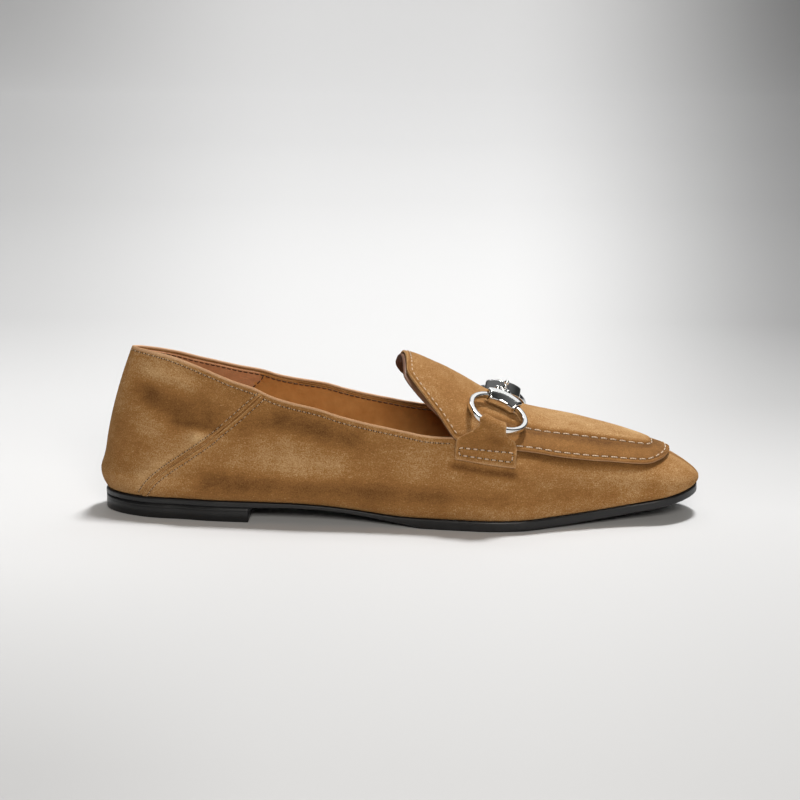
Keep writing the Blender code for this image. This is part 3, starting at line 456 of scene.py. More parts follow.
def suedeMaterial(name, look, cloudScale=34.0):
    # tone is painted by each piece: below 0 painted shade in hollows, above 0 painted highlight on bulges, beside the
    # nap's own light and dark patches. edge is 1 on cut edges.
    material, tree, surface = newMaterial(name, 0.92, **{"Sheen Weight": look["sheen"], "Sheen Roughness": 0.45,
                                                         "Sheen Tint": srgb(232, 192, 132), "Specular IOR Level": 0.18})
    place = addNode(tree, "ShaderNodeTexCoord").outputs["Object"]
    nap = placedGroup(tree, napEffect, {"Vector": place, "Cloud Scale": cloudScale})
    tone = addNode(tree, "ShaderNodeAttribute", attribute_name="tone").outputs["Fac"]
    edge = addNode(tree, "ShaderNodeAttribute", attribute_name="edge").outputs["Fac"]
    shade = maths(tree, "MULTIPLY_ADD", nap.outputs["Shade"], 0.95, 0.5)
    value = maths(tree, "ADD", shade, maths(tree, "MULTIPLY", tone, 0.5))
    ramp = addNode(tree, "ShaderNodeValToRGB", {"Fac": value})
    ramp.color_ramp.elements[0].color, ramp.color_ramp.elements[1].color = look["dark"], look["light"]
    ramp.color_ramp.elements.new(0.5).color = look["body"]
    colour = mixColours(tree, edge, ramp.outputs["Color"], look["rawEdge"])
    tree.links.new(colour, surface.inputs["Base Color"])
    bumped(tree, surface, nap.outputs["Height"], look["nap"])
    return material


def leatherMaterial(name, dark, light, roughness, bump):
    material, tree, surface = newMaterial(name, roughness, **{"Coat Weight": 0.12, "Coat Roughness": 0.35})
    place = addNode(tree, "ShaderNodeTexCoord").outputs["Object"]
    grain = placedGroup(tree, grainEffect, {"Vector": place})
    value = maths(tree, "MULTIPLY_ADD", grain.outputs["Shade"], 1.4, 0.5)
    tree.links.new(mixColours(tree, value, dark, light), surface.inputs["Base Color"])
    bumped(tree, surface, grain.outputs["Height"], bump)
    return material


def rubberMaterial(name, colour, roughness, bump):
    material, tree, surface = newMaterial(name, roughness, **{"Specular IOR Level": 0.5})
    place = addNode(tree, "ShaderNodeTexCoord").outputs["Object"]
    noise = addNode(tree, "ShaderNodeTexNoise", {"Vector": place, "Scale": 700.0, "Detail": 6.0, "Roughness": 0.65})
    scuff = addNode(tree, "ShaderNodeTexNoise", {"Vector": place, "Scale": 60.0, "Detail": 8.0, "Roughness": 0.7})
    worn = addNode(tree, "ShaderNodeMapRange", {"Value": scuff.outputs["Fac"], "From Min": 0.48, "From Max": 0.75})
    light = (*[c * 2.6 for c in colour[:3]], 1.0)
    tree.links.new(mixColours(tree, worn.outputs[0], colour, light), surface.inputs["Base Color"])
    rough = maths(tree, "MULTIPLY_ADD", worn.outputs[0], 0.2, roughness)
    tree.links.new(rough, surface.inputs["Roughness"])
    bumped(tree, surface, noise.outputs["Fac"], bump)
    return material


def metalMaterial(name, colour, roughness):
    # polished plate with faint wiping marks in its roughness
    material, tree, surface = newMaterial(name, roughness, Metallic=1.0)
    place = addNode(tree, "ShaderNodeTexCoord").outputs["Object"]
    noise = addNode(tree, "ShaderNodeTexNoise", {"Vector": place, "Scale": 900.0, "Detail": 6.0, "Roughness": 0.7})
    tree.links.new(maths(tree, "MULTIPLY_ADD", noise.outputs["Fac"], 0.10, roughness - 0.04), surface.inputs["Roughness"])
    tree.links.new(mixColours(tree, noise.outputs["Fac"], colour, (0.86, 0.86, 0.85, 1.0)), surface.inputs["Base Color"])
    bumped(tree, surface, noise.outputs["Fac"], 0.0000012)
    return material


def threadMaterial(name, colour, dark):
    # twisted thread: slanted bands on the piece's own twist attribute
    material, tree, surface = newMaterial(name, 0.75, **{"Sheen Weight": 0.15, "Specular IOR Level": 0.25})
    twist = addNode(tree, "ShaderNodeAttribute", attribute_name="twist").outputs["Fac"]
    band = maths(tree, "MULTIPLY_ADD", maths(tree, "SINE", twist), 0.5, 0.5)
    tree.links.new(mixColours(tree, band, dark, colour), surface.inputs["Base Color"])
    bumped(tree, surface, band, 0.00006)
    return material


def plainMaterial(name, colour, roughness):
    material, tree, surface = newMaterial(name, roughness)
    place = addNode(tree, "ShaderNodeTexCoord").outputs["Object"]
    noise = addNode(tree, "ShaderNodeTexNoise", {"Vector": place, "Scale": 1200.0, "Detail": 3.0})
    lighter = (*[c * 1.6 for c in colour[:3]], 1.0)
    tree.links.new(mixColours(tree, noise.outputs["Fac"], colour, lighter), surface.inputs["Base Color"])
    return material


suede = suedeMaterial("caramel-suede", suedeLook)
apronSuede = suedeMaterial("apron-suede", suedeLook, 48.0)
gripSuede = leatherMaterial("heel-grip-leather", srgb(186, 127, 84), srgb(210, 154, 110), 0.85, 0.00010)
liningLeather = leatherMaterial("tan-lining", srgb(178, 119, 60), srgb(203, 147, 85), 0.42, 0.00005)
sockLeather = leatherMaterial("sock-leather", srgb(150, 100, 58), srgb(184, 130, 82), 0.5, 0.00005)
rubber = rubberMaterial("black-sole", (0.0042, 0.0042, 0.0046, 1.0), 0.38, 0.00003)
polished = metalMaterial("polished-metal", (0.80, 0.80, 0.79, 1.0), 0.06)
beigeThread = threadMaterial("beige-thread", srgb(232, 212, 186), srgb(182, 152, 120))
collarThread = threadMaterial("collar-thread", srgb(198, 168, 130), srgb(140, 108, 74))
brownThread = threadMaterial("brown-thread", srgb(96, 62, 38), srgb(56, 36, 22))
# painted shade: a darker copy of the tan lining, for the lining in shade under the tongue's edge
shadedTongueLining = leatherMaterial("tongue-lining", srgb(84, 52, 30), srgb(118, 78, 48), 0.8, 0.00008)
blackThread = threadMaterial("black-thread", srgb(52, 50, 48), srgb(22, 21, 20))
# dark discs that stand for the shade inside the needle holes
needleHoleShade = plainMaterial("needle-hole-shade", srgb(54, 33, 18), 0.9)
print("materials ready")


# Upper: one skin of suede over a lining, both from the last's own net.
upperLook = {
    "columns": 480, "rowsLow": 10, "rowsHigh": 72, "skin": 0.0011, "rimRise": 0.0004, "rimRadius": 0.0007,
    # soft troughs (below 0) and ridges (above 0): from and to in x and z, width, height, tone, all in millimetres; the
    # tone is painted shade in the troughs and painted highlight on the ridges
    "creases": [
        {"side": lateral, "from": (15.5, 58.5), "to": (22.0, 54.5), "width": 5.0, "height": -0.60, "tone": -0.26},
        {"side": lateral, "from": (22.0, 54.0), "to": (33.0, 48.5), "width": 6.5, "height": -1.00, "tone": -0.36},
        {"side": lateral, "from": (33.0, 48.5), "to": (47.0, 45.0), "width": 6.0, "height": -1.00, "tone": -0.34},
        {"side": lateral, "from": (34.0, 43.0), "to": (53.0, 40.9), "width": 2.4, "height": -0.50, "tone": -0.30},
        {"side": lateral, "from": (26.0, 24.0), "to": (44.0, 36.0), "width": 6.5, "height": 0.95, "tone": 0.30},
        {"side": lateral, "from": (44.0, 36.4), "to": (54.0, 37.4), "width": 2.6, "height": 0.60, "tone": 0.20},
        {"side": lateral, "from": (20.0, 63.5), "to": (40.0, 57.5), "width": 3.0, "height": 0.30, "tone": 0.16},
        {"side": lateral, "from": (46.0, 50.5), "to": (60.0, 49.5), "width": 4.0, "height": 0.30, "tone": 0.04},
        {"side": lateral, "from": (65.0, 43.0), "to": (78.0, 45.5), "width": 4.4, "height": -0.70, "tone": -0.38},
        {"side": lateral, "from": (60.0, 29.0), "to": (104.0, 27.5), "width": 7.0, "height": 0.50, "tone": 0.20},
        {"side": lateral, "from": (82.0, 46.0), "to": (112.0, 38.5), "width": 4.6, "height": -0.90, "tone": -0.50},
        # painted shade along the low wall, darker towards the sole
        {"side": lateral, "from": (48.0, 18.0), "to": (150.0, 15.0), "width": 4.8, "height": -0.50, "tone": -0.56},
        {"side": lateral, "from": (150.0, 15.0), "to": (226.0, 14.5), "width": 3.5, "height": -0.20, "tone": -0.12},
        {"side": lateral, "from": (158.0, 15.5), "to": (178.0, 15.0), "width": 4.2, "height": -0.10, "tone": -0.22},
        # painted shadow below the tab's lower edge
        {"side": lateral, "from": (156.6, 29.2), "to": (182.2, 25.2), "width": 1.7, "height": -0.15, "tone": -0.85},
        {"side": medial, "from": (80.0, 45.0), "to": (112.0, 38.0), "width": 4.0, "height": -0.60, "tone": -0.20},
        {"side": medial, "from": (18.0, 56.0), "to": (36.0, 47.0), "width": 5.0, "height": -0.80, "tone": -0.24},
        {"side": medial, "from": (36.0, 47.0), "to": (54.0, 42.0), "width": 4.0, "height": -0.80, "tone": -0.28},
        {"side": medial, "from": (26.0, 29.0), "to": (56.0, 36.0), "width": 6.0, "height": 0.80, "tone": 0.20},
        {"side": medial, "from": (66.0, 42.0), "to": (76.0, 45.0), "width": 4.0, "height": -0.50, "tone": -0.24},
        # painted shade along the low wall, darker towards the sole
        {"side": medial, "from": (56.0, 18.5), "to": (150.0, 15.5), "width": 4.5, "height": -0.45, "tone": -0.22},
        {"side": medial, "from": (150.0, 15.5), "to": (222.0, 14.0), "width": 3.4, "height": -0.20, "tone": -0.12},
    ],
    # light and dark patches, mostly painted highlight and painted shade, partly the nap's own tone: place in x and z,
    # reach in x and z, tone, in millimetres
    "patches": [
        {"side": lateral, "at": (21.5, 54.0), "reach": (6.5, 4.5), "tone": -0.22},
        {"side": lateral, "at": (39.0, 42.0), "reach": (5.0, 2.4), "tone": -0.20},
        {"side": lateral, "at": (232.0, 20.0), "reach": (12.0, 6.0), "tone": 0.12},
        {"side": lateral, "at": (22.0, 41.0), "reach": (9.0, 7.0), "tone": 0.40},
        {"side": lateral, "at": (252.0, 21.0), "reach": (15.0, 10.0), "tone": 0.20},
        {"side": lateral, "at": (18.0, 17.0), "reach": (12.0, 6.0), "tone": 0.26},
        {"side": lateral, "at": (24.0, 61.0), "reach": (14.0, 5.0), "tone": 0.22},
        {"side": lateral, "at": (205.0, 16.0), "reach": (14.0, 4.0), "tone": -0.12},
    ],
}


def columnShares(count, pull=0.45):
    t = np.arange(count // 2 + 1) / (count // 2)
    return t - pull * np.sin(2 * math.pi * t) / (2 * math.pi)


def topline(side, way):
    corner = last["throat"] * last["length"]
    x = last["lean"] + (corner - last["lean"]) * way
    z = soleTop(x) + last["side"] + (last["back"] - last["side"]) * share(toplinePlan, "height", way)
    z = z + (last["side"] * share(toplinePlan, "lift", way) if side == medial else 0.0)
    half = last["opening"] * share(toplinePlan, sideName[side], way) * np.sqrt(np.clip(way / 0.02, 0.0, 1.0))
    y = middleLine(x) + side * half
    y = y + (vampSide(x, z, side) - y) * smoothStep(way, 0.80, 1.0)
    return np.stack([x, y, z], -1)


def upperNet(columns, lowRows, highRows):
    # each column runs from the sole's edge out to the widest line, then in and up to the topline or the throat:
    # on the quarters the wall leans in as a power of the height, on the vamp it is the arch
    shares, cornerX = columnShares(columns), last["throat"] * last["length"]
    halves = []
    for side in (lateral, medial):
        footX, footY, run = outline(side, -last["ledge"])
        wideX, wideY, _ = widestLine[side]
        length = np.hypot(np.diff(footX), np.diff(footY)).sum()
        foot = np.stack([np.interp(shares, run, footX), np.interp(shares, run, footY)], 1)
        wide = np.stack([np.interp(shares, run, wideX), np.interp(shares, run, wideY)], 1)
        edgeX = np.interp(shares, run, outline(side, 0.0)[0])
        footZ, wideZ = soleTop(foot[:, 0]) + last["gap"], widestHeight(edgeX)
        cornerShare = np.interp(cornerX, wideX, run)
        quarter = shares <= cornerShare
        roundHeel = last["lean"] + length * shares * 0.64
        topX = roundHeel + (wide[:, 0] - roundHeel) * smoothStep(wide[:, 0] / last["length"], 0.08, 0.26)
        way = np.clip((topX - last["lean"]) / (cornerX - last["lean"]), 0.0, 1.0)
        top, corner = topline(side, way), topline(side, np.array([1.0]))[0]
        turn = np.clip((shares - cornerShare) / (1 - cornerShare), 0.0, 1.0) * math.pi / 2
        throatX = cornerX + 0.040 * last["length"] * np.sin(turn)
        throatY = middleLine(throatX) + (corner[1] - middleLine(cornerX)) * np.cos(turn)
        top = np.where(quarter[:, None], top, np.stack([throatX, throatY, vampHeight(throatX, throatY)], 1))
        station = edgeX / last["length"]
        lean, seat = share(sections, "lean", station), share(sections, "seat", station)
        blend = np.where(quarter, smoothStep(way, 0.78, 1.0), 1.0)[None, :, None]
        low = np.linspace(0, 1, lowRows, endpoint=False)[:, None, None]
        lowPlan = foot + (wide - foot) * (1 - (1 - low) ** 2)
        lowNet = np.concatenate([lowPlan, (footZ + (wideZ - footZ) * low[:, :, 0])[..., None]], -1)
        t = np.linspace(0, 1, highRows + 1)[:, None]
        wall = seat * (1 - np.exp(-((t / 0.09) ** 2))) + (1 - seat) * t**lean
        wallPlan = wide + (top[:, :2] - wide) * wall[..., None]
        wallNet = np.concatenate([wallPlan, (wideZ + (top[:, 2] - wideZ) * t)[..., None]], -1)
        archPlan = wide + (top[:, :2] - wide) * (1 - np.cos(t * math.pi / 2))[..., None]
        archZ = vampHeight(archPlan[..., 0], archPlan[..., 1])
        archZ[0] = wideZ
        reach = np.where(quarter, (top[:, 2] - wideZ) / np.maximum(archZ[-1] - wideZ, 1e-5), 1.0)
        archNet = np.concatenate([archPlan, (wideZ + (archZ - wideZ) * reach)[..., None]], -1)
        halves.append(np.concatenate([lowNet, wallNet + (archNet - wallNet) * blend]))
    return np.concatenate([halves[0], halves[1][:, -2:0:-1]], axis=1)


def segmentDistance(x, z, start, end):
    dx, dz = end[0] - start[0], end[1] - start[1]
    t = np.clip(((x - start[0]) * dx + (z - start[1]) * dz) / (dx * dx + dz * dz), 0.0, 1.0)
    return np.hypot(x - start[0] - dx * t, z - start[1] - dz * t)


def creaseField(net, look):
    # sum of the listed troughs and ridges, each a bell across its line
    x, z = net[..., 0] * 1000, net[..., 2] * 1000
    outer = net[..., 1] < middleLine(net[..., 0])
    height, tone = np.zeros(x.shape), np.zeros(x.shape)
    # each crease's tone is painted shade in a trough and painted highlight on a ridge
    for crease in look["creases"]:
        shape = bell(segmentDistance(x, z, crease["from"], crease["to"]), crease["width"]) * (outer == (crease["side"] < 0))
        height, tone = height + shape * crease["height"] / 1000, tone + shape * crease["tone"]
    # patches: mostly painted highlight and painted shade, partly the nap's own tone
    for patch in look["patches"]:
        far = np.hypot((x - patch["at"][0]) / patch["reach"][0], (z - patch["at"][1]) / patch["reach"][1])
        tone = tone + bell(far, 1.0) * patch["tone"] * (outer == (patch["side"] < 0))
    return height, tone


# the apron's sizes and its plan, which the painted shadow on the vamp beside it needs too
apronLook = {
    "rows": 300, "columns": 150, "thickness": 0.0016, "gap": 0.0004, "front": 0.950, "capStart": 0.902, "capPower": 2.3,
    "slant": 0.16, "hollow": 0.285, "corner": 0.20, "cornerRun": 0.008, "endReach": 0.22, "edgeRow": 0.0021,
    "plateau": 0.0007, "plateauEnd": 0.921, "groove": 0.00045, "ragged": 0.00018,
    "shadowTone": -0.60, "shadowWide": 0.0013,
}
apronPlan = {
    "station": (0.506, 0.514, 0.532, 0.549, 0.567, 0.585, 0.600, 0.645, 0.70, 0.77, 0.809, 0.847, 0.886, 0.918, 0.950),
    "lateral": (0.236, 0.258, 0.297, 0.337, 0.377, 0.420, 0.442, 0.436, 0.408, 0.351, 0.317, 0.284, 0.254, 0.232, 0.220),
    "medial": (0.236, 0.258, 0.297, 0.337, 0.377, 0.420, 0.442, 0.444, 0.432, 0.400, 0.366, 0.325, 0.286, 0.255, 0.235),
}


def paintedApronShadow(net):
    # painted shadow: the suede is darker in a band along the apron's edge
    x, y = net[..., 0], net[..., 1]
    station = x / last["length"]
    half = np.where(y < middleLine(x), share(apronPlan, "lateral", station), share(apronPlan, "medial", station))
    cap = roundEnd(station, apronLook["capStart"], apronLook["front"], apronLook["capPower"])
    beyond = np.abs(y - middleLine(x)) - half * cap * last["ballWidth"]
    return apronLook["shadowTone"] * bell(beyond - 0.0003, apronLook["shadowWide"]) * smoothStep(station, 0.64, 0.72)


skinNet = upperNet(upperLook["columns"], upperLook["rowsLow"], upperLook["rowsHigh"])
skinNormals = netNormals(skinNet, wrap=True)
creaseHeight, skinToneAndShade = creaseField(skinNet, upperLook)
skinToneAndShade = skinToneAndShade + paintedApronShadow(skinNet)
edgeFade = np.clip(np.arange(len(skinNet)) / 6, 0, 1) * np.clip((len(skinNet) - 1 - np.arange(len(skinNet))) / 5, 0, 1)
skinNet = skinNet + skinNormals * (creaseHeight * edgeFade[:, None])[..., None]
skinNormals = netNormals(skinNet, wrap=True)


def shellProfile(net, normals, outerDepth, innerDepth, topRise, radius):
    # outer face, rim turned over by a half circle, inner face and closed foot, as one wrapped net
    rows = len(net)
    outer, inner = net - normals * outerDepth, net - normals * innerDepth
    inner[0, :, 2] = outer[0, :, 2]
    up = unit(net[-1] - net[-3])
    half, middle = (innerDepth - outerDepth) / 2, (outer[-1] + inner[-1]) / 2
    turn = np.linspace(0, math.pi, 7)[1:-1, None, None]
    rim = middle + normals[-1] * half * np.cos(turn) + up * (topRise + min(radius, half) * np.sin(turn) * 0.9)
    return np.concatenate([outer, rim, inner[::-1]]), rows


def makeUpper():
    profile, rows = shellProfile(skinNet, skinNormals, 0.0, upperLook["skin"], upperLook["rimRise"], upperLook["rimRadius"])
    count, columns = profile.shape[:2]
    tone = np.zeros((count, columns))
    tone[:rows] = skinToneAndShade
    outer = np.arange(columns) <= columns // 2
    edge = np.zeros((count, columns))
    edge[rows:rows + 5] = np.where(outer, 0.40, 0.95)
    edge[rows - 1] = 0.5
    quads = gridQuads(count, columns, wrap=True, wrapRows=True)
    makePiece("upper-suede", (profile.reshape(-1, 3), quads), suede, ["upper"], {"tone": tone, "edge": edge})


def seamBehind(x, z):
    # 1 behind the slanting heel seam, 0 in front of it, x and z in millimetres
    return smoothStep(np.interp(z, seamLook["z"], seamLook["x"]) - x, -0.8, 0.8)


seamLook = {
    "x": (18.5, 22.0, 28.1, 37.6, 49.6, 59.7, 70.1, 72.5), "z": (9.9, 15.8, 21.4, 27.6, 36.3, 44.7, 53.9, 56.0),
    "wide": 0.0038, "lip": 0.00030, "groove": 0.00050, "rowOffset": 0.0021,
}
# each row of stitches as pitch, length, radius and rise
stitchLook = {
    "panel": (0.0025, 0.0014, 0.00024, 0.00010), "collar": (0.0023, 0.0012, 0.00025, 0.00008),
    "inside": (0.0026, 0.0023, 0.00028, 0.00010), "grip": (0.0028, 0.0020, 0.00028, 0.00010),
    "apron": (0.0043, 0.0032, 0.00029, 0.00022), "tongue": (0.0030, 0.0019, 0.00026, 0.00014),
    "tab": (0.0030, 0.0019, 0.00027, 0.00016), "welt": (0.0042, 0.0024, 0.00028, 0.00010),
}


def makeInsideSkin():
    net = skinNet[:, ::2]
    inside = netNormals(net, wrap=True)
    rows = len(net)
    behind = seamBehind(net[..., 0] * 1000 + 3.0, net[..., 2] * 1000)
    swell = inside * (behind * 0.0005)[..., None]
    outer = net - inside * (upperLook["skin"] + 0.00005)
    inner = net - inside * last["wall"] - swell
    inner[0, :, 2] = outer[0, :, 2]
    drop = unit(net[-1] - net[-3]) * 0.0005
    outer[-1], inner[-1] = outer[-1] - drop, inner[-1] - drop
    profile = np.concatenate([outer, inner[::-1]])
    grip = np.concatenate([behind, behind[::-1]])
    quads = gridQuads(*profile.shape[:2], wrap=True, wrapRows=True)
    piece = makePiece("upper-lining", (profile.reshape(-1, 3), quads), liningLeather, values={"grip": grip})
    piece.data.materials.append(gripSuede)
    quadGrip = grip.ravel()[quads].mean(1)
    piece.data.polygons.foreach_set("material_index", (quadGrip > 0.5).astype(np.int32))


makeUpper()
makeInsideSkin()
print("upper ready")


# Seams and stitches.
halfColumns = upperLook["columns"] // 2
sideColumns = {
    lateral: np.arange(halfColumns + 1),
    medial: np.concatenate([np.arange(halfColumns, upperLook["columns"]), [0]]),
}


def touchSkin(x, z, side):
    # nearest point of the skin's net to each x and z, then one step along the net's own tangents
    net = skinNet[:, sideColumns[side]]
    normals = skinNormals[:, sideColumns[side]]
    flat = net.reshape(-1, 3)
    nearest = np.argmin((flat[None, :, 0] - x[:, None]) ** 2 + (flat[None, :, 2] - z[:, None]) ** 2, axis=1)
    down, along = np.gradient(net, axis=0).reshape(-1, 3)[nearest], np.gradient(net, axis=1).reshape(-1, 3)[nearest]
    point, gapX, gapZ = flat[nearest], x - flat[nearest, 0], z - flat[nearest, 2]
    det = down[:, 0] * along[:, 2] - down[:, 2] * along[:, 0]
    a = np.clip((gapX * along[:, 2] - gapZ * along[:, 0]) / det, -1, 1)
    b = np.clip((gapZ * down[:, 0] - gapX * down[:, 2]) / det, -1, 1)
    return point + down * a[:, None] + along * b[:, None], normals.reshape(-1, 3)[nearest]


def spreadPath(points, normals, step=0.0004):
    # the same path with even steps
    run = np.concatenate([[0], np.linalg.norm(np.diff(points, axis=0), axis=1).cumsum()])
    s = np.linspace(0, run[-1], max(int(run[-1] / step), 4))
    even = np.stack([np.interp(s, run, points[:, i]) for i in range(3)], 1)
    up = np.stack([np.interp(s, run, normals[:, i]) for i in range(3)], 1)
    return even, unit(up), s


def smoothed(values, window):
    # running mean along the first axis, ends kept in place
    padded = np.pad(values, ((window // 2, window // 2), (0, 0)), mode="reflect", reflect_type="odd")
    even = np.ones(window) / window
    return np.stack([np.convolve(column, even, mode="valid") for column in padded.T], 1)


def sidePath(points, normals, offset):
    # path moved sideways along the surface
    along = unit(np.gradient(points, axis=0))
    return points + unit(np.cross(along, normals)) * offset


def stitchRow(path, normals, pitch, length, radius, rise, sink=0.0002, start=0.0):
    # each stitch is a round thread that arches over the surface and dips at both ends
    points, up, s = spreadPath(path, normals)
    count = max(int((s[-1] - start) / pitch), 1)
    centres = start + (np.arange(count) + 0.5) * (s[-1] - start) / count
    u = np.array([-1.0, -0.86, -0.55, 0.0, 0.55, 0.86, 1.0])
    at = centres[:, None] + u * length / 2
    middle = np.stack([np.interp(at, s, points[:, i]) for i in range(3)], -1)
    normal = unit(np.stack([np.interp(at, s, up[:, i]) for i in range(3)], -1))
    forward = unit(np.gradient(middle, axis=1))
    across = unit(np.cross(forward, normal))
    middle = middle + normal * (rise - (rise + sink) * u**4)[None, :, None]
    size = radius * np.array([0.30, 0.72, 0.95, 1.0, 0.95, 0.72, 0.30])
    turn = np.arange(6) * math.pi / 3
    ring = across[:, :, None] * np.cos(turn)[:, None] + normal[:, :, None] * np.sin(turn)[:, None]
    net = middle[:, :, None] + ring * size[None, :, None, None]
    one = np.concatenate([gridQuads(7, 6, wrap=True), loopCaps(0, 6, True), loopCaps(36, 6, False)])
    quads = (one[None] + (np.arange(count) * 42)[:, None, None]).reshape(-1, 4)
    twist = np.broadcast_to((u * 9.0)[None, :, None] + turn[None, None, :], net.shape[:3])
    holes = np.concatenate([centres - length / 2, centres + length / 2])
    spot = np.stack([np.interp(holes, s, points[:, i]) for i in range(3)], -1)
    spotUp = unit(np.stack([np.interp(holes, s, up[:, i]) for i in range(3)], -1))
    return net.reshape(-1, 3), quads, twist.ravel(), spot, spotUp


def makeStitches(name, rows, material, holeSize=0.00042):
    # several rows in one piece, with a dark disc at each end of a stitch, painted shade in its needle hole
    shape = joinParts([(row[0], row[1]) for row in rows])
    makePiece(name, shape, material, values={"twist": np.concatenate([row[2] for row in rows])})
    spot, up = np.concatenate([row[3] for row in rows]), np.concatenate([row[4] for row in rows])
    if holeSize:
        first = unit(np.cross(up, (0.31, 0.87, 0.38)))
        second = np.cross(up, first)
        turn = np.arange(8) * math.pi / 4
        ring = first[:, None] * np.cos(turn)[:, None] + second[:, None] * np.sin(turn)[:, None]
        low = spot[:, None] + ring * holeSize - up[:, None] * 0.0003
        high = spot[:, None] + ring * holeSize * 0.9 + up[:, None] * 0.00006
        net = np.stack([low, high], 1)
        one = np.concatenate([gridQuads(2, 8, wrap=True), loopCaps(0, 8, True), loopCaps(8, 8, False)])
        quads = (one[None] + (np.arange(len(spot)) * 16)[:, None, None]).reshape(-1, 4)
        makePiece(name + "-hole-shades", (net.reshape(-1, 3), quads), needleHoleShade)


def belowRim(distance):
    # line round the collar, this far below the topline along each column
    step = np.linalg.norm(skinNet[-1] - skinNet[-2], axis=1)
    back = np.clip(distance / step, 0, 20)
    i, t = back.astype(int), (back % 1)[:, None]
    columns = np.arange(skinNet.shape[1])
    near, far = skinNet[-1 - i, columns], skinNet[-2 - i, columns]
    return near + (far - near) * t, skinNormals[-1 - i, columns]


def collarPath(distance):
    # from the lateral throat corner round the back seam to the medial one, closer to the rim at the back
    points, normals = belowRim(distance * (0.5 + 0.5 * smoothStep(skinNet[-1, :, 0], 0.012, 0.050)))
    corner = last["throat"] * last["length"]
    outer = np.arange(halfColumns + 1)
    inner = np.arange(upperLook["columns"] - 1, halfColumns, -1)
    outer, inner = outer[points[outer, 0] < corner - 0.002], inner[points[inner, 0] < corner - 0.002]
    order = np.concatenate([outer[::-1], inner])
    return points[order], normals[order]


def makeHeelSeams():
    # cut edge of the heel panel: a lip beside a pressed line, with a row of stitches on each side
    rows = []
    for side in (lateral, medial):
        z = np.linspace(seamLook["z"][0], seamLook["z"][-1] - (0.6 if side < 0 else 0.2), 400) / 1000
        x = np.interp(z * 1000, seamLook["z"], seamLook["x"]) / 1000
        smooth = smoothed(x[:, None], 41)[:, 0]
        points, normals = touchSkin(smooth, z, side)
        inside = points[:, 2] < np.interp(points[:, 0], *toplineHeight(side)) - 0.0012
        points, normals, _ = spreadPath(points[inside], normals[inside], 0.0006)
        points, normals = smoothed(points, 11), unit(smoothed(normals, 11))
        u = np.linspace(-1, 1, 33)
        height = (seamLook["lip"] * (bell(u - 0.27, 0.16) + 0.85 * bell(u + 0.30, 0.20)) - seamLook["groove"] * bell(u, 0.075)
                  - 0.00018 * bell(np.abs(u) - 0.82, 0.09) + 0.00012 - 0.00035 * smoothStep(np.abs(u), 0.86, 1.0))
        along = unit(np.gradient(points, axis=0))
        across = unit(np.cross(along, normals))
        sideways = across[:, None] * (u * seamLook["wide"] / 2)[None, :, None]
        top = points[:, None] + sideways + normals[:, None] * height[None, :, None]
        low = top - normals[:, None] * 0.0006
        # painted shade in the pressed line and painted highlight on the lips beside it
        tone = -0.95 * bell(u, 0.15) + 0.26 * bell(u - 0.28, 0.14) + 0.12 * bell(u + 0.28, 0.14)
        tone = np.broadcast_to(tone, top.shape[:2])
        makePiece(f"heel-seam-{sideName[side]}", sheetShell(low, top), suede,
                  values={"tone": np.stack([tone, tone]), "edge": np.zeros((2,) + top.shape[:2])})
        for offset in (-seamLook["rowOffset"], seamLook["rowOffset"]):
            rows.append(stitchRow(sidePath(points, normals, offset), normals, *stitchLook["panel"]))
    makeStitches("heel-seam-stitches", rows, collarThread, holeSize=0.00036)


def toplineHeight(side):
    way = np.linspace(0, 1, 200)
    line = topline(side, way)
    return line[:, 0], line[:, 2]


def gripRows():
    rows = []
    for side in (lateral, medial):
        z = np.linspace(14.0, 57.4, 330)
        x = np.interp(z, seamLook["z"], seamLook["x"]) - 3.2
        smooth = smoothed(x[:, None], 41)[:, 0]
        points, normals = touchSkin(smooth / 1000, z / 1000, side)
        below = points[:, 2] < np.interp(points[:, 0], *toplineHeight(side)) - 0.0012
        points, normals = points[below], normals[below]
        rows.append(stitchRow(points - normals * (last["wall"] + 0.0006), -normals, *stitchLook["grip"]))
    return rows


makeHeelSeams()
collar, collarUp = collarPath(0.0021)
collarRow = stitchRow(collar, collarUp, *stitchLook["collar"])
makeStitches("topline-stitches", [collarRow], collarThread, holeSize=0.00042)
# the same seam shows inside as a dark row, and the heel grip ends in another
inner, innerUp = collarPath(0.0013)
insideRow = stitchRow(inner - innerUp * (last["wall"] + 0.0005), -innerUp, *stitchLook["inside"])
makeStitches("inside-stitches", [insideRow] + gripRows(), brownThread, 0)
print("seams ready")


# Apron and tongue.
# plateau's edge in plan: half width as a share of the ball's width
innerRow = {
    "station": (0.60, 0.66, 0.708, 0.733, 0.765, 0.798, 0.840, 0.871, 0.898, 0.914, 0.924),
    "half": (0.262, 0.254, 0.243, 0.233, 0.211, 0.186, 0.152, 0.126, 0.100, 0.070, 0.010),
}


def crowded(way, quarter):
    return np.sin(way * quarter * math.pi / 2) / math.sin(quarter * math.pi / 2)


def apronPoints(t, across):
    # plan of the apron: t from the tongue's end to the front, across from -1 at the lateral edge to 1
    start = apronPlan["station"][0]
    station = start + (apronLook["front"] - start) * t
    cap = roundEnd(station, apronLook["capStart"], apronLook["front"] + 0.0001, apronLook["capPower"])
    x = station * last["length"]
    half = np.where(across < 0, share(apronPlan, "lateral", station), share(apronPlan, "medial", station)) * cap
    fromEnd = np.clip((station - start) * last["length"] / apronLook["cornerRun"], 0.0, 1.0)
    half = half * (1 - apronLook["corner"] * (1 - np.sqrt(1 - (1 - fromEnd) ** 2)))  # rounded corners
    y = middleLine(x) + across * half * last["ballWidth"]
    back = 1 - smoothStep(t, 0.0, apronLook["endReach"])
    return x + (-apronLook["slant"] * y - apronLook["hollow"] * y**2 / last["ballWidth"]) * back, y


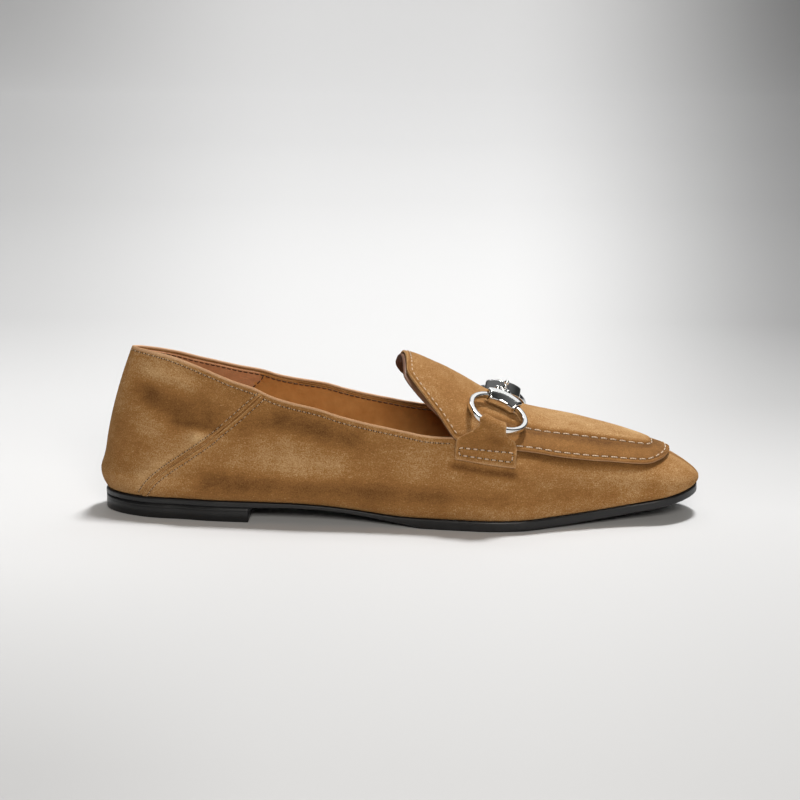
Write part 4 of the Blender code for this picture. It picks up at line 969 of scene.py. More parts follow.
def plateauShape(x, y):
    # how far each point stands inside the plateau's edge, in metres across the shoe,
    # how far it is on the apron and not the tongue, from 0 to 1, and the relief's height
    station = x / last["length"]
    inner = last["ballWidth"] * share(innerRow, "half", station)
    ratio = share(apronPlan, "medial", station) / share(apronPlan, "lateral", station)
    fromMiddle = np.abs(y - middleLine(x)) / np.where(y > middleLine(x), ratio, 1.0)
    inside = np.minimum(inner - fromMiddle, (apronLook["plateauEnd"] - station) * last["length"])
    onApron = smoothStep(station, 0.60, 0.70)
    plateau = apronLook["plateau"] * smoothStep(inside, -0.0004, 0.0022) * onApron
    return inside, onApron, plateau - apronLook["groove"] * bell(inside, 0.00075) * onApron


def makeApron():
    t = crowded(edgeSteps(apronLook["rows"], 0.006), 0.975)[:, None]
    across = crowded(edgeSteps(apronLook["columns"], 0.014) * 2 - 1, 0.8)[None, :]
    t, across = np.broadcast_arrays(t, across)
    x, y = apronPoints(t, across)
    net = lifted(x, y, 0.0 * x)
    normals = unit(lifted(x, y, 0.001 + 0.0 * x) - net)
    distance = edgeDistance(net)
    inside, onApron, height = plateauShape(x, y)
    height = height - 0.00022 * bell(distance - apronLook["edgeRow"], 0.0006)
    low, high = roundedSheet(net, normals, apronLook["thickness"], 0.0007, apronLook["gap"], height)
    # the cut edge is slightly ragged
    wobble = np.sin(x * 5200 + 2 * np.sin(x * 1900)) * np.sin(y * 4100 + x * 700)
    ragged = wobble * apronLook["ragged"] * bell(distance, 0.0004)
    outwards = unit(np.stack([0.15 * np.sign(t - 0.5), np.sign(y - middleLine(x)), 0 * x], -1))
    low, high = low + outwards * ragged[..., None], high + outwards * ragged[..., None]
    # painted highlight on the plateau, painted shade in its groove, in the band below it and along the edge row, and a
    # faint painted highlight near the cut edge
    tone = 0.26 * smoothStep(inside, 0.0005, 0.004) * onApron - 0.50 * bell(inside + 0.0002, 0.0008) * onApron
    tone = tone - (0.26 * smoothStep(-inside, 0.0002, 0.001) + 0.40 * bell(inside + 0.0024, 0.0022)) * onApron
    tone = tone - 0.30 * bell(distance - apronLook["edgeRow"], 0.0005) + 0.10 * bell(distance - 0.001, 0.0006)
    edge = 0.25 * (distance < 0.00025)
    # the lower face is painted dark, so the cut edge shades towards the vamp: painted shade
    makePiece("apron-suede", sheetShell(low, high), apronSuede, ["apron"],
              {"tone": np.stack([tone * 0 - 1.0, tone]), "edge": np.stack([edge * 0, edge])})


def makeTongueLining():
    # thin sheet under the tongue, whose cut edge shows past the suede
    t = np.linspace(0, 0.205, 60)[:, None] + 0 * edgeSteps(60, 0.02)[None, :]
    across = (edgeSteps(60, 0.02) * 2 - 1)[None, :] + 0 * t
    x, y = apronPoints(t, across)
    overhang = np.where(across < 0, 0.0014, 0.0004)
    out = smoothStep(np.abs(across), 0.55, 1.0) * np.sign(across) * overhang * (1 - smoothStep(t, 0.06, 0.15))
    x, y = x - 0.0013 * (1 - smoothStep(t, 0.0, 0.10)), y + out
    net = lifted(x, y, 0.0 * x)
    normals = unit(lifted(x, y, 0.001 + 0.0 * x) - net)
    low, high = roundedSheet(net, normals, 0.0008, 0.0004, -0.00045)
    makePiece("tongue-lining", sheetShell(low, high), shadedTongueLining)


def apronTop(x, y, lift):
    # point of the apron's upper face, with the plateau's own height
    return lifted(x, y, apronLook["gap"] + apronLook["thickness"] + plateauShape(x, y)[2] + lift)


def edgeRowPath():
    # round the whole apron, this far inside its edge, from the tongue's middle by the lateral side and the front
    ends, sides = 60, 400
    forward, backward = crowded(np.linspace(0, 1, sides), 0.975), crowded(np.linspace(1, 0, sides), 0.975)
    t = [np.zeros(ends), forward, np.ones(ends), backward, np.zeros(ends)]
    across = [np.linspace(0, -1, ends), -np.ones(sides), np.linspace(-1, 1, ends), np.ones(sides),
              np.linspace(1, 0, ends)]
    x, y = apronPoints(np.concatenate(t), np.concatenate(across))
    edge = np.stack([x, y], 1)
    keep = np.concatenate([[True], np.linalg.norm(np.diff(edge, axis=0), axis=1) > 1e-6])
    edge = edge[keep]
    run = np.concatenate([[0], np.linalg.norm(np.diff(edge, axis=0), axis=1).cumsum()])
    s = np.linspace(0, run[-1], 900)
    edge = np.stack([np.interp(s, run, edge[:, i]) for i in range(2)], 1)
    along = unit(np.gradient(edge, axis=0))
    normal = unit(lifted(edge[:, 0], edge[:, 1], 0.001 + 0 * s) - lifted(edge[:, 0], edge[:, 1], 0 * s))
    inward = np.stack([-along[:, 1], along[:, 0]], 1)
    slope = np.abs((normal[:, :2] * inward).sum(1))  # a step on a slope is shorter in plan
    step = apronLook["edgeRow"] * np.sqrt(np.clip(1 - slope**2, 0.15, 1))
    inset = edge + inward * step[:, None]
    smooth = [np.convolve(np.pad(inset[:, i], 6, mode="wrap"), np.ones(13) / 13, mode="valid") for i in range(2)]
    return smooth[0], smooth[1]


def innerRowPath():
    station = np.concatenate([np.linspace(0.705, 0.905, 200), 0.905 + 0.016 * np.sin(np.linspace(0, math.pi / 2, 60))])
    half = last["ballWidth"] * share(innerRow, "half", station)
    half[200:] = half[199] * np.cos(np.linspace(0, math.pi / 2, 60)) ** 0.8
    ratio = share(apronPlan, "medial", station) / share(apronPlan, "lateral", station)
    x = np.concatenate([station, station[::-1]]) * last["length"]
    y = np.concatenate([-half, (half * ratio)[::-1]]) + middleLine(x)
    return x, y


makeApron()
makeTongueLining()
rowX, rowY = edgeRowPath()
rowPoints = apronTop(rowX, rowY, -0.00015 + 0 * rowX)
rowNormals = unit(apronTop(rowX, rowY, 0.001 + 0 * rowX) - rowPoints)
ahead = rowX > 0.182
firstAhead, lastAhead = np.argmax(ahead), len(ahead) - np.argmax(ahead[::-1])
order = np.concatenate([np.arange(lastAhead, len(rowX)), np.arange(firstAhead)])
tongueOrder = order[rowX[order] < 0.158]
apronRows = [
    stitchRow(rowPoints[tongueOrder], rowNormals[tongueOrder], *stitchLook["tongue"]),
    stitchRow(rowPoints[firstAhead:lastAhead], rowNormals[firstAhead:lastAhead], *stitchLook["apron"]),
]
innerX, innerY = innerRowPath()
innerPoints = apronTop(innerX, innerY, 0.00010 + 0 * innerX)
innerNormals = unit(apronTop(innerX, innerY, 0.001 + 0 * innerX) - innerPoints)
apronRows.append(stitchRow(innerPoints, innerNormals, *stitchLook["apron"]))
makeStitches("apron-stitches", apronRows, beigeThread, holeSize=0.00030)
print("apron ready")


# Bit: two rings, a sleeve and arm on each, and the link between them.
bitLook = {
    "ring": 0.0275, "band": 0.0023, "rise": 0.0024, "station": 0.655, "skew": 0.073, "sleeveRoom": 0.0013, "linkRoom": 0.0022,
    "seat": {lateral: (0.570, 0.130), medial: (0.650, 0.080)}, "tab": 0.0014,
    "sleeveWide": 0.215, "sleeveHigh": 0.215, "sleeveTurn": 33.75, "slant": 0.00255, "armWide": 0.150, "armHigh": 0.080,
    "link": (0.110, 0.100, 0.085), "pin": 0.030, "ball": 0.052, "span": 0.180, "post": 0.150, "topBall": 0.8,
}


def ringFrame(side):
    # the ring leans on the vamp: its upper point over the apron, its lower point over the tab
    size, radius = bitLook["ring"], (bitLook["ring"] - bitLook["band"]) / 2
    reach, slack = bitLook["seat"][side]
    x, skew = bitLook["station"] * last["length"], bitLook["skew"] * size
    onApron = apronLook["gap"] + apronLook["thickness"] + last["gap"]
    topLift = onApron + bitLook["sleeveRoom"] + size * bitLook["sleeveHigh"] / 2
    lowLift = onApron + last["gap"] + bitLook["tab"] + bitLook["rise"] / 2 + size * slack
    top = lifted(x + skew, ridgeLine(x) + side * size * reach, topLift)
    tries = ridgeLine(x) + side * np.linspace(0.5, 0.985, 400) * widestHalf(x, side)
    low = lifted(np.full_like(tries, x - skew), tries, lowLift)
    low = low[np.argmin(np.abs(np.linalg.norm(low - top, axis=1) - 2 * radius))]
    across = unit(top - low)
    middle = top - across * radius
    ahead = lifted(x + radius / 2, middle[1], 0.0) - lifted(x - radius / 2, middle[1], 0.0)
    along = unit(ahead - across * np.dot(ahead, across))
    return middle, along, across, np.cross(along, across) * -side, radius


def roundRing(frameOf, angle, section, scale=None):
    # a section carried round the ring's circle, measured from its upper point
    middle, along, across, outwards, radius = frameOf
    away = across * np.cos(angle)[:, None] + along * np.sin(angle)[:, None]
    scale = np.ones(len(angle)) if scale is None else scale
    steps = section[None] * scale[:, None, None]
    return middle + away[:, None] * (radius + steps[..., :1]) + outwards * steps[..., 1:]


def linkMiddle():
    x = (ringFrame(lateral)[0][0] + ringFrame(medial)[0][0]) / 2
    height = apronLook["gap"] + apronLook["thickness"] + bitLook["linkRoom"] + bitLook["ball"] * bitLook["ring"]
    return lifted(x, ridgeLine(x), height)


def makeRing(side):
    section = roundedBand(bitLook["band"], bitLook["rise"], 0.00042)
    net = roundRing(ringFrame(side), np.linspace(0, 2 * math.pi, 160, endpoint=False), section)
    quads = gridQuads(*net.shape[:2], wrap=True, wrapRows=True)
    makePiece(f"ring-{sideName[side]}", (net.reshape(-1, 3), quads), polished, [f"bit_ring_{sideName[side]}"])


def pressedBand(wide, high, cut, points=56):
    # rectangle with one corner cut on the slant, as its reach in each direction:
    # a high power mean of the walls rounds it
    turn = np.arange(points) * 2 * math.pi / points
    x, y = np.cos(turn), np.sin(turn)
    walls = np.stack([np.abs(x) * 2 / wide, np.abs(y) * 2 / high, np.maximum(y - x, 0.0) / (math.sqrt(2) * cut)])
    reach = (walls**18).sum(0) ** (-1 / 18)
    return np.stack([x * reach, y * reach], 1)


def makeBar(side):
    frameOf, size = ringFrame(side), bitLook["ring"]
    middle, along, across, outwards, radius = frameOf
    wide, high = size * bitLook["sleeveWide"], size * bitLook["sleeveHigh"]
    u = np.concatenate([[-1, -0.985, -0.95, -0.9], np.linspace(-0.84, 0.84, 28), [0.9, 0.95, 0.985, 1]])
    taper = (1 - 0.12 * u**2) * (1 - 0.16 * smoothStep(np.abs(u), 0.9, 1.0) ** 2)
    angle = np.radians(bitLook["sleeveTurn"]) * u
    outer = roundRing(frameOf, angle, pressedBand(wide, high, bitLook["slant"]), taper)
    bore = roundRing(frameOf, angle, pressedBand(bitLook["band"] + 0.0006, bitLook["rise"] + 0.0006, 0.1))
    net = np.concatenate([outer, bore[::-1]])
    sleeve = net.reshape(-1, 3), gridQuads(*net.shape[:2], wrap=True, wrapRows=True)
    start = middle + across * (radius + bitLook["band"] / 2 + last["gap"] + (wide - bitLook["band"]) / 8)
    reach = linkMiddle() - start
    stop = start + reach * (1 - (size * bitLook["link"][1] / 2 + last["gap"]) / abs(reach[1]))
    forward = unit(reach)
    sideways = unit(along - forward * np.dot(along, forward))
    upwards = np.cross(sideways, forward)
    t = np.array([0, 0.3, 0.6, 0.9, 0.97, 1.0])
    path = start + (stop - start) * t[:, None]
    scale = np.array([1.15, 1.03, 1.0, 1.0, 0.95, 0.84])
    section = roundedBand(size * bitLook["armWide"], size * bitLook["armHigh"], size * 0.02)
    arm = sweep(path, np.tile(sideways, (6, 1)), np.tile(upwards, (6, 1)), section, scale)
    makePiece(f"bar-{sideName[side]}", joinParts([sleeve, arm]), polished, [f"bit_bar_{sideName[side]}"])


def turnedPart(middle, axis, radii, heights, around=24):
    # a profile of radii and heights turned about an axis
    first = unit(np.cross(axis, (0.21, 0.93, 0.3)))
    second = np.cross(axis, first)
    turn = np.arange(around) * 2 * math.pi / around
    section = np.stack([np.cos(turn), np.sin(turn)], 1)
    path = middle + axis * np.asarray(heights)[:, None]
    return sweep(path, np.tile(first, (len(path), 1)), np.tile(second, (len(path), 1)), section, np.asarray(radii))


def ballPart(middle, axis, radius):
    angle = np.linspace(0.04, math.pi - 0.04, 17)
    return turnedPart(middle, axis, radius * np.sin(angle), -radius * np.cos(angle))


def makeLink():
    middle, ahead, size = linkMiddle(), ringFrame(lateral)[1], bitLook["ring"]
    along, across = unit(np.array([ahead[0], 0.0, ahead[2]])), np.array([0.0, 1.0, 0.0])
    up = unit(np.cross(along, across))
    long, wide, high = (size * value for value in bitLook["link"])
    t = np.array([-0.5, -0.47, -0.42, 0.42, 0.47, 0.5])
    section = roundedBand(long, high, size * 0.018)
    block = sweep(middle + across * (t * wide)[:, None], np.tile(along, (6, 1)), np.tile(up, (6, 1)), section,
                  np.array([0.84, 0.95, 1, 1, 0.95, 0.84]))
    parts, pin = [block], size * bitLook["pin"]
    ends = [middle - along * size * bitLook["span"] / 2, middle + along * size * bitLook["span"] / 2]
    top = middle + up * size * bitLook["post"]
    parts.append(turnedPart(middle, along, [pin, pin], [-size * bitLook["span"] / 2, size * bitLook["span"] / 2]))
    pinHeights = [0, size * 0.06, size * 0.09, size * bitLook["post"]]
    parts.append(turnedPart(middle, up, [pin * 1.3, pin, pin * 0.8, pin * 0.8], pinHeights))
    parts += [ballPart(end, along, size * bitLook["ball"]) for end in ends]
    parts.append(ballPart(top, up, size * bitLook["ball"] * bitLook["topBall"]))
    makePiece("link", joinParts(parts), polished, ["bit_link"])


for side in (lateral, medial):
    makeRing(side)
    makeBar(side)
makeLink()
print("bit ready")


# Tabs that hold the rings.
tabRows = {
    "station": (0.0, 1.0, 2.0, 3.0, 4.0, 5.0, 6.0),
    "height": (0.448, 0.490, 0.530, 0.565, 0.585, 0.595, 0.600),
    "neck": (0.0, 0.0, 0.0, 0.0, 0.10, 0.55, 0.92),
    "drop": (0.165, 0.165, 0.16, 0.16, 0.16, 0.20, 0.28),
    "overApron": (0.0, 0.15, 1.0, 1.0, 1.0, 1.0, 1.0),
    "riseUp": (0.0, 0.0, 0.0, 0.03, 0.16, 0.42, 0.72),
}
tabLook = {
    "wide": 0.0258, "neck": 0.0108, "station": 0.645, "curl": (25, 200), "columns": 40, "boxInset": 0.0021,
    "boxLow": 0.0027, "boxHigh": 0.0038, "boxCorner": 0.0008, "dimple": 0.00045,
}


def tabNet(side, shift):
    # rows from the lower edge up over the vamp, then round the ring: each point stands off by shift
    middle, along, across, outwards, radius = ringFrame(side)
    tube = middle - across * radius
    steps = (edgeSteps(tabLook["columns"], 0.03) * 2 - 1)[None, :]
    angle = math.pi - steps * tabLook["neck"] / 2 / radius
    radial = np.cos(angle)[..., None] * across + np.sin(angle)[..., None] * along
    rowAt = 6.0 * edgeSteps(44, 0.02)[:-4]
    rowAt = np.concatenate([rowAt, [6.0]])[:, None]
    turn = np.radians(np.linspace(*tabLook["curl"], 34))[:, None, None]
    away = radial * np.cos(turn) + outwards * np.sin(turn)
    curl = middle + radial * radius + away * (math.hypot(bitLook["band"], bitLook["rise"]) / 2 + last["gap"] + shift)
    baseX = tabLook["station"] * last["length"]
    lateralFrame = ringFrame(lateral)
    lowered = (lateralFrame[0] - lateralFrame[2] * lateralFrame[4])[2] - tube[2]
    neck, rise = share(tabRows, "neck", rowAt), share(tabRows, "riseUp", rowAt)
    x = baseX + (tube[0] - baseX) * neck + steps * (tabLook["wide"] + (tabLook["neck"] - tabLook["wide"]) * neck) / 2
    z = soleTop(x) + last["instep"] * share(tabRows, "height", rowAt) - share(tabRows, "drop", rowAt) * (x - baseX) - lowered
    lift = last["gap"] + (apronLook["gap"] + apronLook["thickness"]) * share(tabRows, "overApron", rowAt) + shift
    onVamp = lifted(x, vampSide(x, z, side), lift + 0 * x)
    base = onVamp + (curl[0] - onVamp) * rise[..., None]
    return np.concatenate([base, curl]), x, z


def makeTab(side):
    low, x, z = tabNet(side, 0.0)
    high = tabNet(side, bitLook["tab"])[0]
    normals = unit(high - low)
    distance = edgeDistance(low)
    rows = len(x)
    away = 1 - np.clip(distance / 0.0006, 0, 1)
    shrink = (bitLook["tab"] / 2 * (1 - np.maximum(np.sqrt(1 - away**2), 0.12)))[..., None]
    baseX = tabLook["station"] * last["length"]
    dip = np.zeros(distance.shape)
    rowAt = np.linspace(0, 1, rows)[:, None]
    dip[:rows] = tabLook["dimple"] * np.exp(-(((x - baseX - 0.0035) / 0.0042) ** 2) - ((rowAt - 0.66) / 0.13) ** 2)
    # painted shade in the dimple and over the whole tab, paler along its edges
    tone = -0.45 * dip / tabLook["dimple"] + 0.16 * (distance < 0.0012) - 0.14
    edge = 0.22 * (distance < 0.0004)
    low, high = low + normals * shrink, high - normals * (shrink + dip[..., None])
    name = sideName[side]
    # the lower face is painted dark, so the cut edge shades towards the vamp: painted shade
    makePiece(f"tab-{name}", sheetShell(low, high), suede, [f"tab_{name}"],
              {"tone": np.stack([tone * 0 - 0.8, tone]), "edge": np.stack([edge * 0, edge])})
    # box of stitches near the lower edge
    acrossNet = np.linalg.norm(np.diff(high[:rows], axis=1), axis=-1).cumsum(1)
    downNet = np.linalg.norm(np.diff(high[:rows], axis=0), axis=-1).cumsum(0)
    middleRow = downNet[:, downNet.shape[1] // 2]
    acrossRow = acrossNet[len(acrossNet) // 6]
    left, right = tabLook["boxInset"], acrossRow[-1] - tabLook["boxInset"]
    bottom, top = tabLook["boxLow"], tabLook["boxLow"] + tabLook["boxHigh"]
    corner = tabLook["boxCorner"]
    cornerTurn = np.linspace(0, math.pi / 2, 6)
    box = []
    centres = ((right - corner, top - corner), (left + corner, top - corner),
               (left + corner, bottom + corner), (right - corner, bottom + corner))
    for begin, (cx, cy) in enumerate(centres):
        angle = cornerTurn + begin * math.pi / 2
        box.append(np.stack([cx + corner * np.cos(angle), cy + corner * np.sin(angle)], 1))
    box = np.concatenate(box + [box[0][:1]])
    run = np.concatenate([[0], np.linalg.norm(np.diff(box, axis=0), axis=1).cumsum()])
    s = np.linspace(0, run[-1], 200)
    a, b = np.interp(s, run, box[:, 0]), np.interp(s, run, box[:, 1])
    column = np.interp(a, np.concatenate([[0], acrossRow]), np.arange(high.shape[1]))
    row = np.interp(b, np.concatenate([[0], middleRow]), np.arange(rows))
    r0, c0 = row.astype(int), column.astype(int)
    fr, fc = (row - r0)[:, None], (column - c0)[:, None]
    path = (high[r0, c0] * (1 - fr) * (1 - fc) + high[r0 + 1, c0] * fr * (1 - fc)
            + high[r0, c0 + 1] * (1 - fr) * fc + high[r0 + 1, c0 + 1] * fr * fc)
    return stitchRow(path, normals[r0, c0], *stitchLook["tab"])


makeStitches("tab-stitches", [makeTab(lateral), makeTab(medial)], beigeThread)
print("tabs ready")


# Sole: outsole, heel and the sock inside.
soleLook = {
    "columns": 720, "acrossSteps": 28, "heelSide": 130, "heelSteps": 26, "rib": 0.0034, "ribDepth": 0.0006,
    "heelRibDepth": 0.0005, "sockColumns": 320, "sockSteps": 40,
}


def edgeLoop(inset, columns):
    # closed plan of the sole's edge, moved inwards
    shares = columnShares(columns)
    halves = []
    for side in (lateral, medial):
        x, y, run = outline(side, -inset)
        halves.append(np.stack([np.interp(shares, run, x), np.interp(shares, run, y)], 1))
    return halves[0], halves[1]


def acrossNet(left, right, steps):
    t = np.linspace(0, 1, steps)[None, :, None]
    return left[:, None] + (right - left)[:, None] * t


def ribs(x):
    return np.sin(x / soleLook["rib"] * 2 * math.pi) ** 2


def capParts(loops, count, steps, tread):
    # lower and upper face of a closed wall, as quads between its two sides; the lower one carries the tread
    parts = []
    for loop, under in ((loops[0], True), (loops[-1], False)):
        net = acrossNet(loop[:count], np.concatenate([loop[:1], loop[:-count:-1]]), steps)
        if under:
            net[..., 2] += tread(net[..., 0], edgeDistance(net))
        quads = gridQuads(*net.shape[:2])
        parts.append((net.reshape(-1, 3), quads if under else quads[:, ::-1]))
    return parts


def soleTread(x, rim):
    onFloor = smoothStep(x, 0.135, 0.142) * smoothStep(0.246 - x, 0.0, 0.006)
    return soleLook["ribDepth"] * ribs(x) * smoothStep(rim, 0.004, 0.007) * onFloor


def heelTread(x, rim):
    return soleLook["heelRibDepth"] * ribs(x) * smoothStep(rim, 0.004, 0.006)


def makeOutsole():
    columns = soleLook["columns"]
    edgeX = edgeLoop(0.0, columns)[0][:, 0]
    # inset, rise, and 1 at the top face
    levels = ((0.0016, 0.0, 0.0), (0.0003, 0.00001, 0.0), (0.0001, 0.0001, 0.0), (0.0, 0.0003, 0.0), (0.0, 0.0005, 0.0),
              (0.0, 0.0, 0.5), (0.0, -0.0009, 1.0), (0.0, -0.0007, 1.0), (0.0001, -0.00025, 1.0),
              (0.0004, -0.00002, 1.0), (0.0009, 0.0, 1.0), (0.0030, 0.0, 1.0))
    loops = []
    for inset, rise, onTop in levels:
        halves = edgeLoop(inset, columns)
        thick = soleTop(edgeX) - soleBottom(edgeX)
        z = soleBottom(edgeX) + thick * onTop + rise * np.minimum(1.0, thick / 0.0026)
        halves = [np.column_stack([half, z]) for half in halves]
        loops.append(np.concatenate([halves[0], halves[1][-2:0:-1]]))
    loops = np.stack(loops)
    wall = loops.reshape(-1, 3), gridQuads(*loops.shape[:2], wrap=True)
    caps = capParts(loops, columns // 2 + 1, soleLook["acrossSteps"], soleTread)
    makePiece("sole", joinParts([wall] + caps), rubber, ["outsole"], weld=True)
    # faint stitches on the ledge round the forefoot
    rows = []
    for side in (lateral, medial):
        x, y, _ = outline(side, -0.0004)
        keep = (x > 0.150) & (x < 0.235)
        path = np.stack([x[keep], y[keep], soleTop(x[keep]) - 0.00005], 1)
        up = unit(np.tile(np.array([0.0, 0.4 * side, 0.9]), (len(path), 1)))
        rows.append(stitchRow(path, up, *stitchLook["welt"]))
    makeStitches("welt-stitches", rows, blackThread, 0)


def makeHeel():
    # block of two lifts with a pressed line between them
    length, gap = last["heelLength"], last["gap"]
    levels = ((0.0022, 0.0), (0.0007, 0.0), (0.0002, 0.02), (0.0, 0.08), (0.0, 0.70), (0.00002, 0.712), (0.00009, 0.72),
              (0.00009, 0.725), (0.00002, 0.733), (0.0, 0.745), (0.0, 1.0), (0.003, 1.0))
    loops = []
    for inset, height in levels:
        halves = []
        for side in (lateral, medial):
            x, y, run = outline(side, -gap / 3 - inset)
            s = np.interp(length - inset, x, run) * np.linspace(0, 1, soleLook["heelSide"]) ** 1.3
            halves.append(np.stack([np.interp(s, run, x), np.interp(s, run, y)], 1))
        breast = acrossNet(halves[0][-1:], halves[1][-1:], soleLook["heelSteps"])[0][1:-1]
        plan = np.concatenate([halves[0], breast, halves[1][:0:-1]])
        z = (soleBottom(plan[:, 0]) - gap / 6) * height
        loops.append(np.column_stack([plan, z]))
    loops = np.stack(loops)
    wall = loops.reshape(-1, 3), gridQuads(*loops.shape[:2], wrap=True)
    caps = capParts(loops, soleLook["heelSide"], soleLook["heelSteps"], heelTread)
    makePiece("heel-block", joinParts([wall] + caps), rubber, ["heel"], weld=True)


def makeSock():
    # padded sock on the insole, a little hollow along its middle
    inset = last["ledge"] + last["wall"] + 0.0006
    halves = edgeLoop(inset, soleLook["sockColumns"])
    net = acrossNet(halves[0][1:-1], halves[1][1:-1], soleLook["sockSteps"])
    net = np.concatenate([net, soleTop(net[..., :1])], -1)
    normals = np.zeros(net.shape)
    normals[..., 2] = 1.0
    low, high = roundedSheet(net, normals, last["insole"], 0.0008, last["gap"])
    high[..., 2] -= 0.0005 * smoothStep(edgeDistance(net), 0.002, 0.02)
    makePiece("sock", sheetShell(low, high), sockLeather, ["insole"])


makeOutsole()
makeHeel()
makeSock()
print("sole ready")


# Camera, floor and lights.
lightLook = {
    "key": 26.9, "keyPlace": (0.30, 0.46, 1.58), "keySize": (0.24, 0.24), "fill": 22.5, "fillPlace": (0.25, -1.90, 0.93),
    "fillAim": (0.0, 0.0, 0.03), "fillSize": (1.0, 0.45), "fillColour": (1.0, 0.955, 0.89),
    "card": 0.95, "cardPlace": (0.57, 1.15, 1.11), "cardAim": (0.044, -0.027, 0.05), "cardSize": (0.55, 0.55),
    "wash": 18.0, "washPlace": (0.0, 1.2, 2.0), "washAim": (0.0, 2.2, 0.6), "washSize": (2.0, 0.8), "world": 0.16,
}
# painted light falloff on the floor: its paleness along Y, then the share of it left at the right and left edges of the
# picture
studioLook = {
    "middle": ((-0.35, 0.60), (0.0, 0.67), (0.44, 0.66), (0.91, 0.67), (1.25, 0.73), (1.6, 0.85), (2.1, 0.88)),
    "right": ((-0.35, 0.94), (0.0, 0.92), (0.10, 0.80), (0.22, 0.60), (0.44, 0.37), (0.91, 0.33), (1.6, 0.32), (2.1, 0.22)),
    "left": ((-0.35, 0.88), (-0.1, 1.08), (0.06, 1.08), (0.22, 0.99), (0.44, 0.78), (0.91, 0.72), (1.6, 0.72), (2.1, 0.52)),
    "sideStart": 0.23, "sideEnd": 1.09,
}
cameraLook = {
    "azimuth": 2.5, "elevation": 12.5, "distance": 1.3, "focus": (0.132, 0.0, 0.035), "across": -0.000444,
    "up": 0.014222, "lens": 131.625,
}


def makeCamera():
    w, e = math.radians(cameraLook["azimuth"]), math.radians(cameraLook["elevation"])
    right = np.array([math.cos(w), math.sin(w), 0.0])
    forward = np.array([-math.sin(w) * math.cos(e), math.cos(w) * math.cos(e), -math.sin(e)])
    up = np.cross(right, forward)
    place = np.array(cameraLook["focus"]) - forward * cameraLook["distance"]
    place = place + right * cameraLook["across"] + up * cameraLook["up"]
    camera = bpy.data.objects.new("camera", bpy.data.cameras.new("camera"))
    camera.data.lens, camera.data.sensor_width = cameraLook["lens"], 36.0
    camera.data.clip_start, camera.data.clip_end = 0.05, 30.0
    rotation = np.stack([right, up, -forward], 1)
    matrix = [list(rotation[i]) + [float((place + origin)[i])] for i in range(3)] + [[0, 0, 0, 1]]
    camera.matrix_world = Matrix(matrix)
    bpy.context.scene.collection.objects.link(camera)
    bpy.context.scene.camera = camera


def valueRamp(tree, value, stops):
    # grey read from (place, value) pairs, places from -0.5 to 2.5
    ramp = addNode(tree, "ShaderNodeValToRGB", {"Fac": maths(tree, "MULTIPLY_ADD", value, 1 / 3, 0.5 / 3)})
    while len(ramp.color_ramp.elements) < len(stops):
        ramp.color_ramp.elements.new(0.5)
    for element, (place, grey) in zip(ramp.color_ramp.elements, stops):
        element.position, element.color = (place + 0.5) / 3, (grey, grey, grey, 1.0)
    return ramp.outputs["Color"]


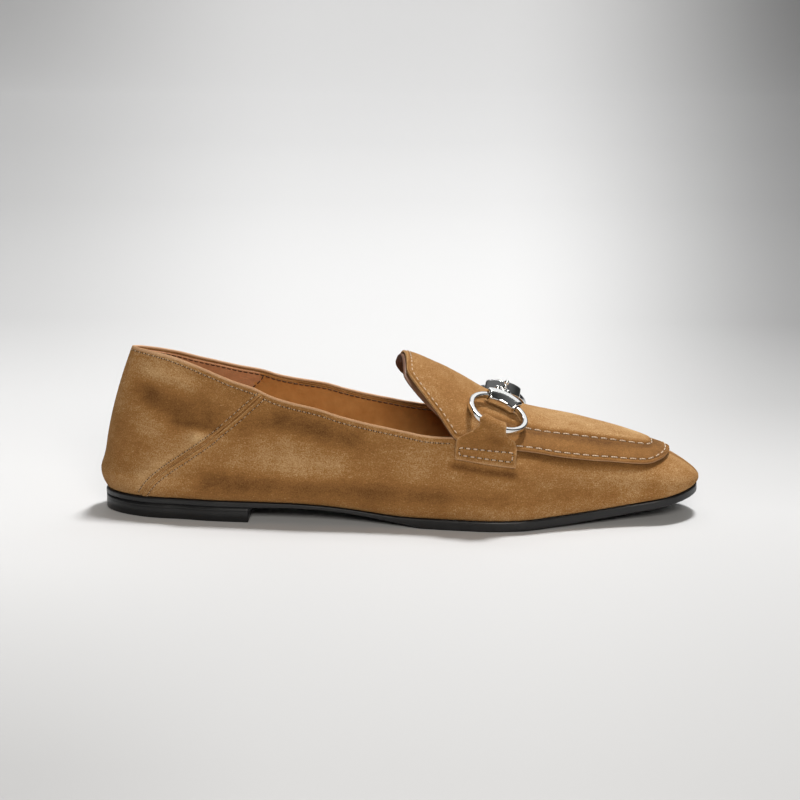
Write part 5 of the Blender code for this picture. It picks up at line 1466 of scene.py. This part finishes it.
def makeStudio():
    # one sheet that runs back along the floor and curves up behind
    x = np.linspace(-3.0, 3.0, 41)
    floorY = np.linspace(-3.0, 1.6, 40)
    bend = np.radians(np.linspace(3, 90, 20))
    y = np.concatenate([floorY, 1.6 + 1.2 * np.sin(bend), np.full(8, 2.8)])
    z = np.concatenate([np.zeros(40), 1.2 - 1.2 * np.cos(bend), np.linspace(1.4, 4.0, 8)])
    points = np.stack([np.broadcast_to(x[None], (len(y), 41)), np.broadcast_to(y[:, None], (len(y), 41)),
                       np.broadcast_to(z[:, None], (len(y), 41))], -1)
    mesh = bpy.data.meshes.new("studio-floor")
    mesh.from_pydata(points.reshape(-1, 3).tolist(), [], gridQuads(len(y), 41).tolist())
    mesh.shade_smooth()
    floor = bpy.data.objects.new("studio-floor", mesh)
    bpy.context.scene.collection.objects.link(floor)
    material, tree, surface = newMaterial("pale-paper", 0.9, **{"Specular IOR Level": 0.1})
    place = addNode(tree, "ShaderNodeTexCoord").outputs["Object"]
    parts = addNode(tree, "ShaderNodeSeparateXYZ", {"Vector": place})
    noise = addNode(tree, "ShaderNodeTexNoise", {"Vector": place, "Scale": 2.0, "Detail": 1.0})
    # painted shade: the light's falloff to both sides, the more the further back, painted into the floor's colour
    spread = maths(tree, "MULTIPLY", maths(tree, "MAXIMUM", maths(tree, "ADD", parts.outputs["Y"], 1.3), 0.6), 0.137)
    across = maths(tree, "DIVIDE", maths(tree, "MULTIPLY_ADD", parts.outputs["Y"], 0.0437, parts.outputs["X"]), spread)
    fade = addNode(tree, "ShaderNodeMapRange", {"Value": maths(tree, "ABSOLUTE", across), "From Min": studioLook["sideStart"],
                                                "From Max": studioLook["sideEnd"]}, interpolation_type="SMOOTHSTEP")
    onRight = maths(tree, "GREATER_THAN", across, 0.0)
    middle, right, left = (valueRamp(tree, parts.outputs["Y"], studioLook[key]) for key in ("middle", "right", "left"))
    rest = mixColours(tree, fade.outputs[0], (1.0, 1.0, 1.0, 1.0), mixColours(tree, onRight, left, right))
    colour = mixColours(tree, 1.0, middle, rest, "MULTIPLY")
    mottled = mixColours(tree, maths(tree, "MULTIPLY", noise.outputs["Fac"], 0.04), colour, (0.6, 0.6, 0.6, 1.0))
    tree.links.new(mottled, surface.inputs["Base Color"])
    mesh.materials.append(material)


def areaLight(name, place, aim, size, power, colour=(1.0, 1.0, 1.0)):
    light = bpy.data.lights.new(name, "AREA")
    light.shape, light.size, light.size_y, light.energy, light.color = "RECTANGLE", size[0], size[1], power, colour
    lamp = bpy.data.objects.new(name, light)
    lamp.location = place
    lamp.rotation_euler = (Vector(aim) - Vector(place)).to_track_quat("-Z", "Y").to_euler()
    bpy.context.scene.collection.objects.link(lamp)


def makeLight():
    world = bpy.data.worlds.new("studio")
    bpy.context.scene.world = world
    world.use_nodes = True
    tree = world.node_tree
    tree.nodes["Background"].inputs["Strength"].default_value = lightLook["world"]
    # dim near the horizon, so that the metal's steep faces stay dark
    place = addNode(tree, "ShaderNodeTexCoord").outputs["Generated"]
    height = addNode(tree, "ShaderNodeSeparateXYZ", {"Vector": place}).outputs["Z"]
    ramp = addNode(tree, "ShaderNodeValToRGB", {"Fac": height})
    ramp.color_ramp.elements[0].position, ramp.color_ramp.elements[0].color = 0.45, (0.22, 0.22, 0.22, 1.0)
    ramp.color_ramp.elements[1].position, ramp.color_ramp.elements[1].color = 0.90, (1.0, 1.0, 1.0, 1.0)
    tree.links.new(ramp.outputs["Color"], tree.nodes["Background"].inputs["Color"])
    areaLight("back-softbox", lightLook["keyPlace"], (0.0, 0.0, 0.0), lightLook["keySize"], lightLook["key"])
    areaLight("front-fill", lightLook["fillPlace"], lightLook["fillAim"], lightLook["fillSize"], lightLook["fill"],
              lightLook["fillColour"])
    # seen only as the white face of the ring
    areaLight("ring-card", lightLook["cardPlace"], lightLook["cardAim"], lightLook["cardSize"], lightLook["card"])
    areaLight("back-wash", lightLook["washPlace"], lightLook["washAim"], lightLook["washSize"], lightLook["wash"])
    scene = bpy.context.scene
    scene.view_settings.view_transform = "Standard"


makeCamera()
makeStudio()
makeLight()
print("studio ready")
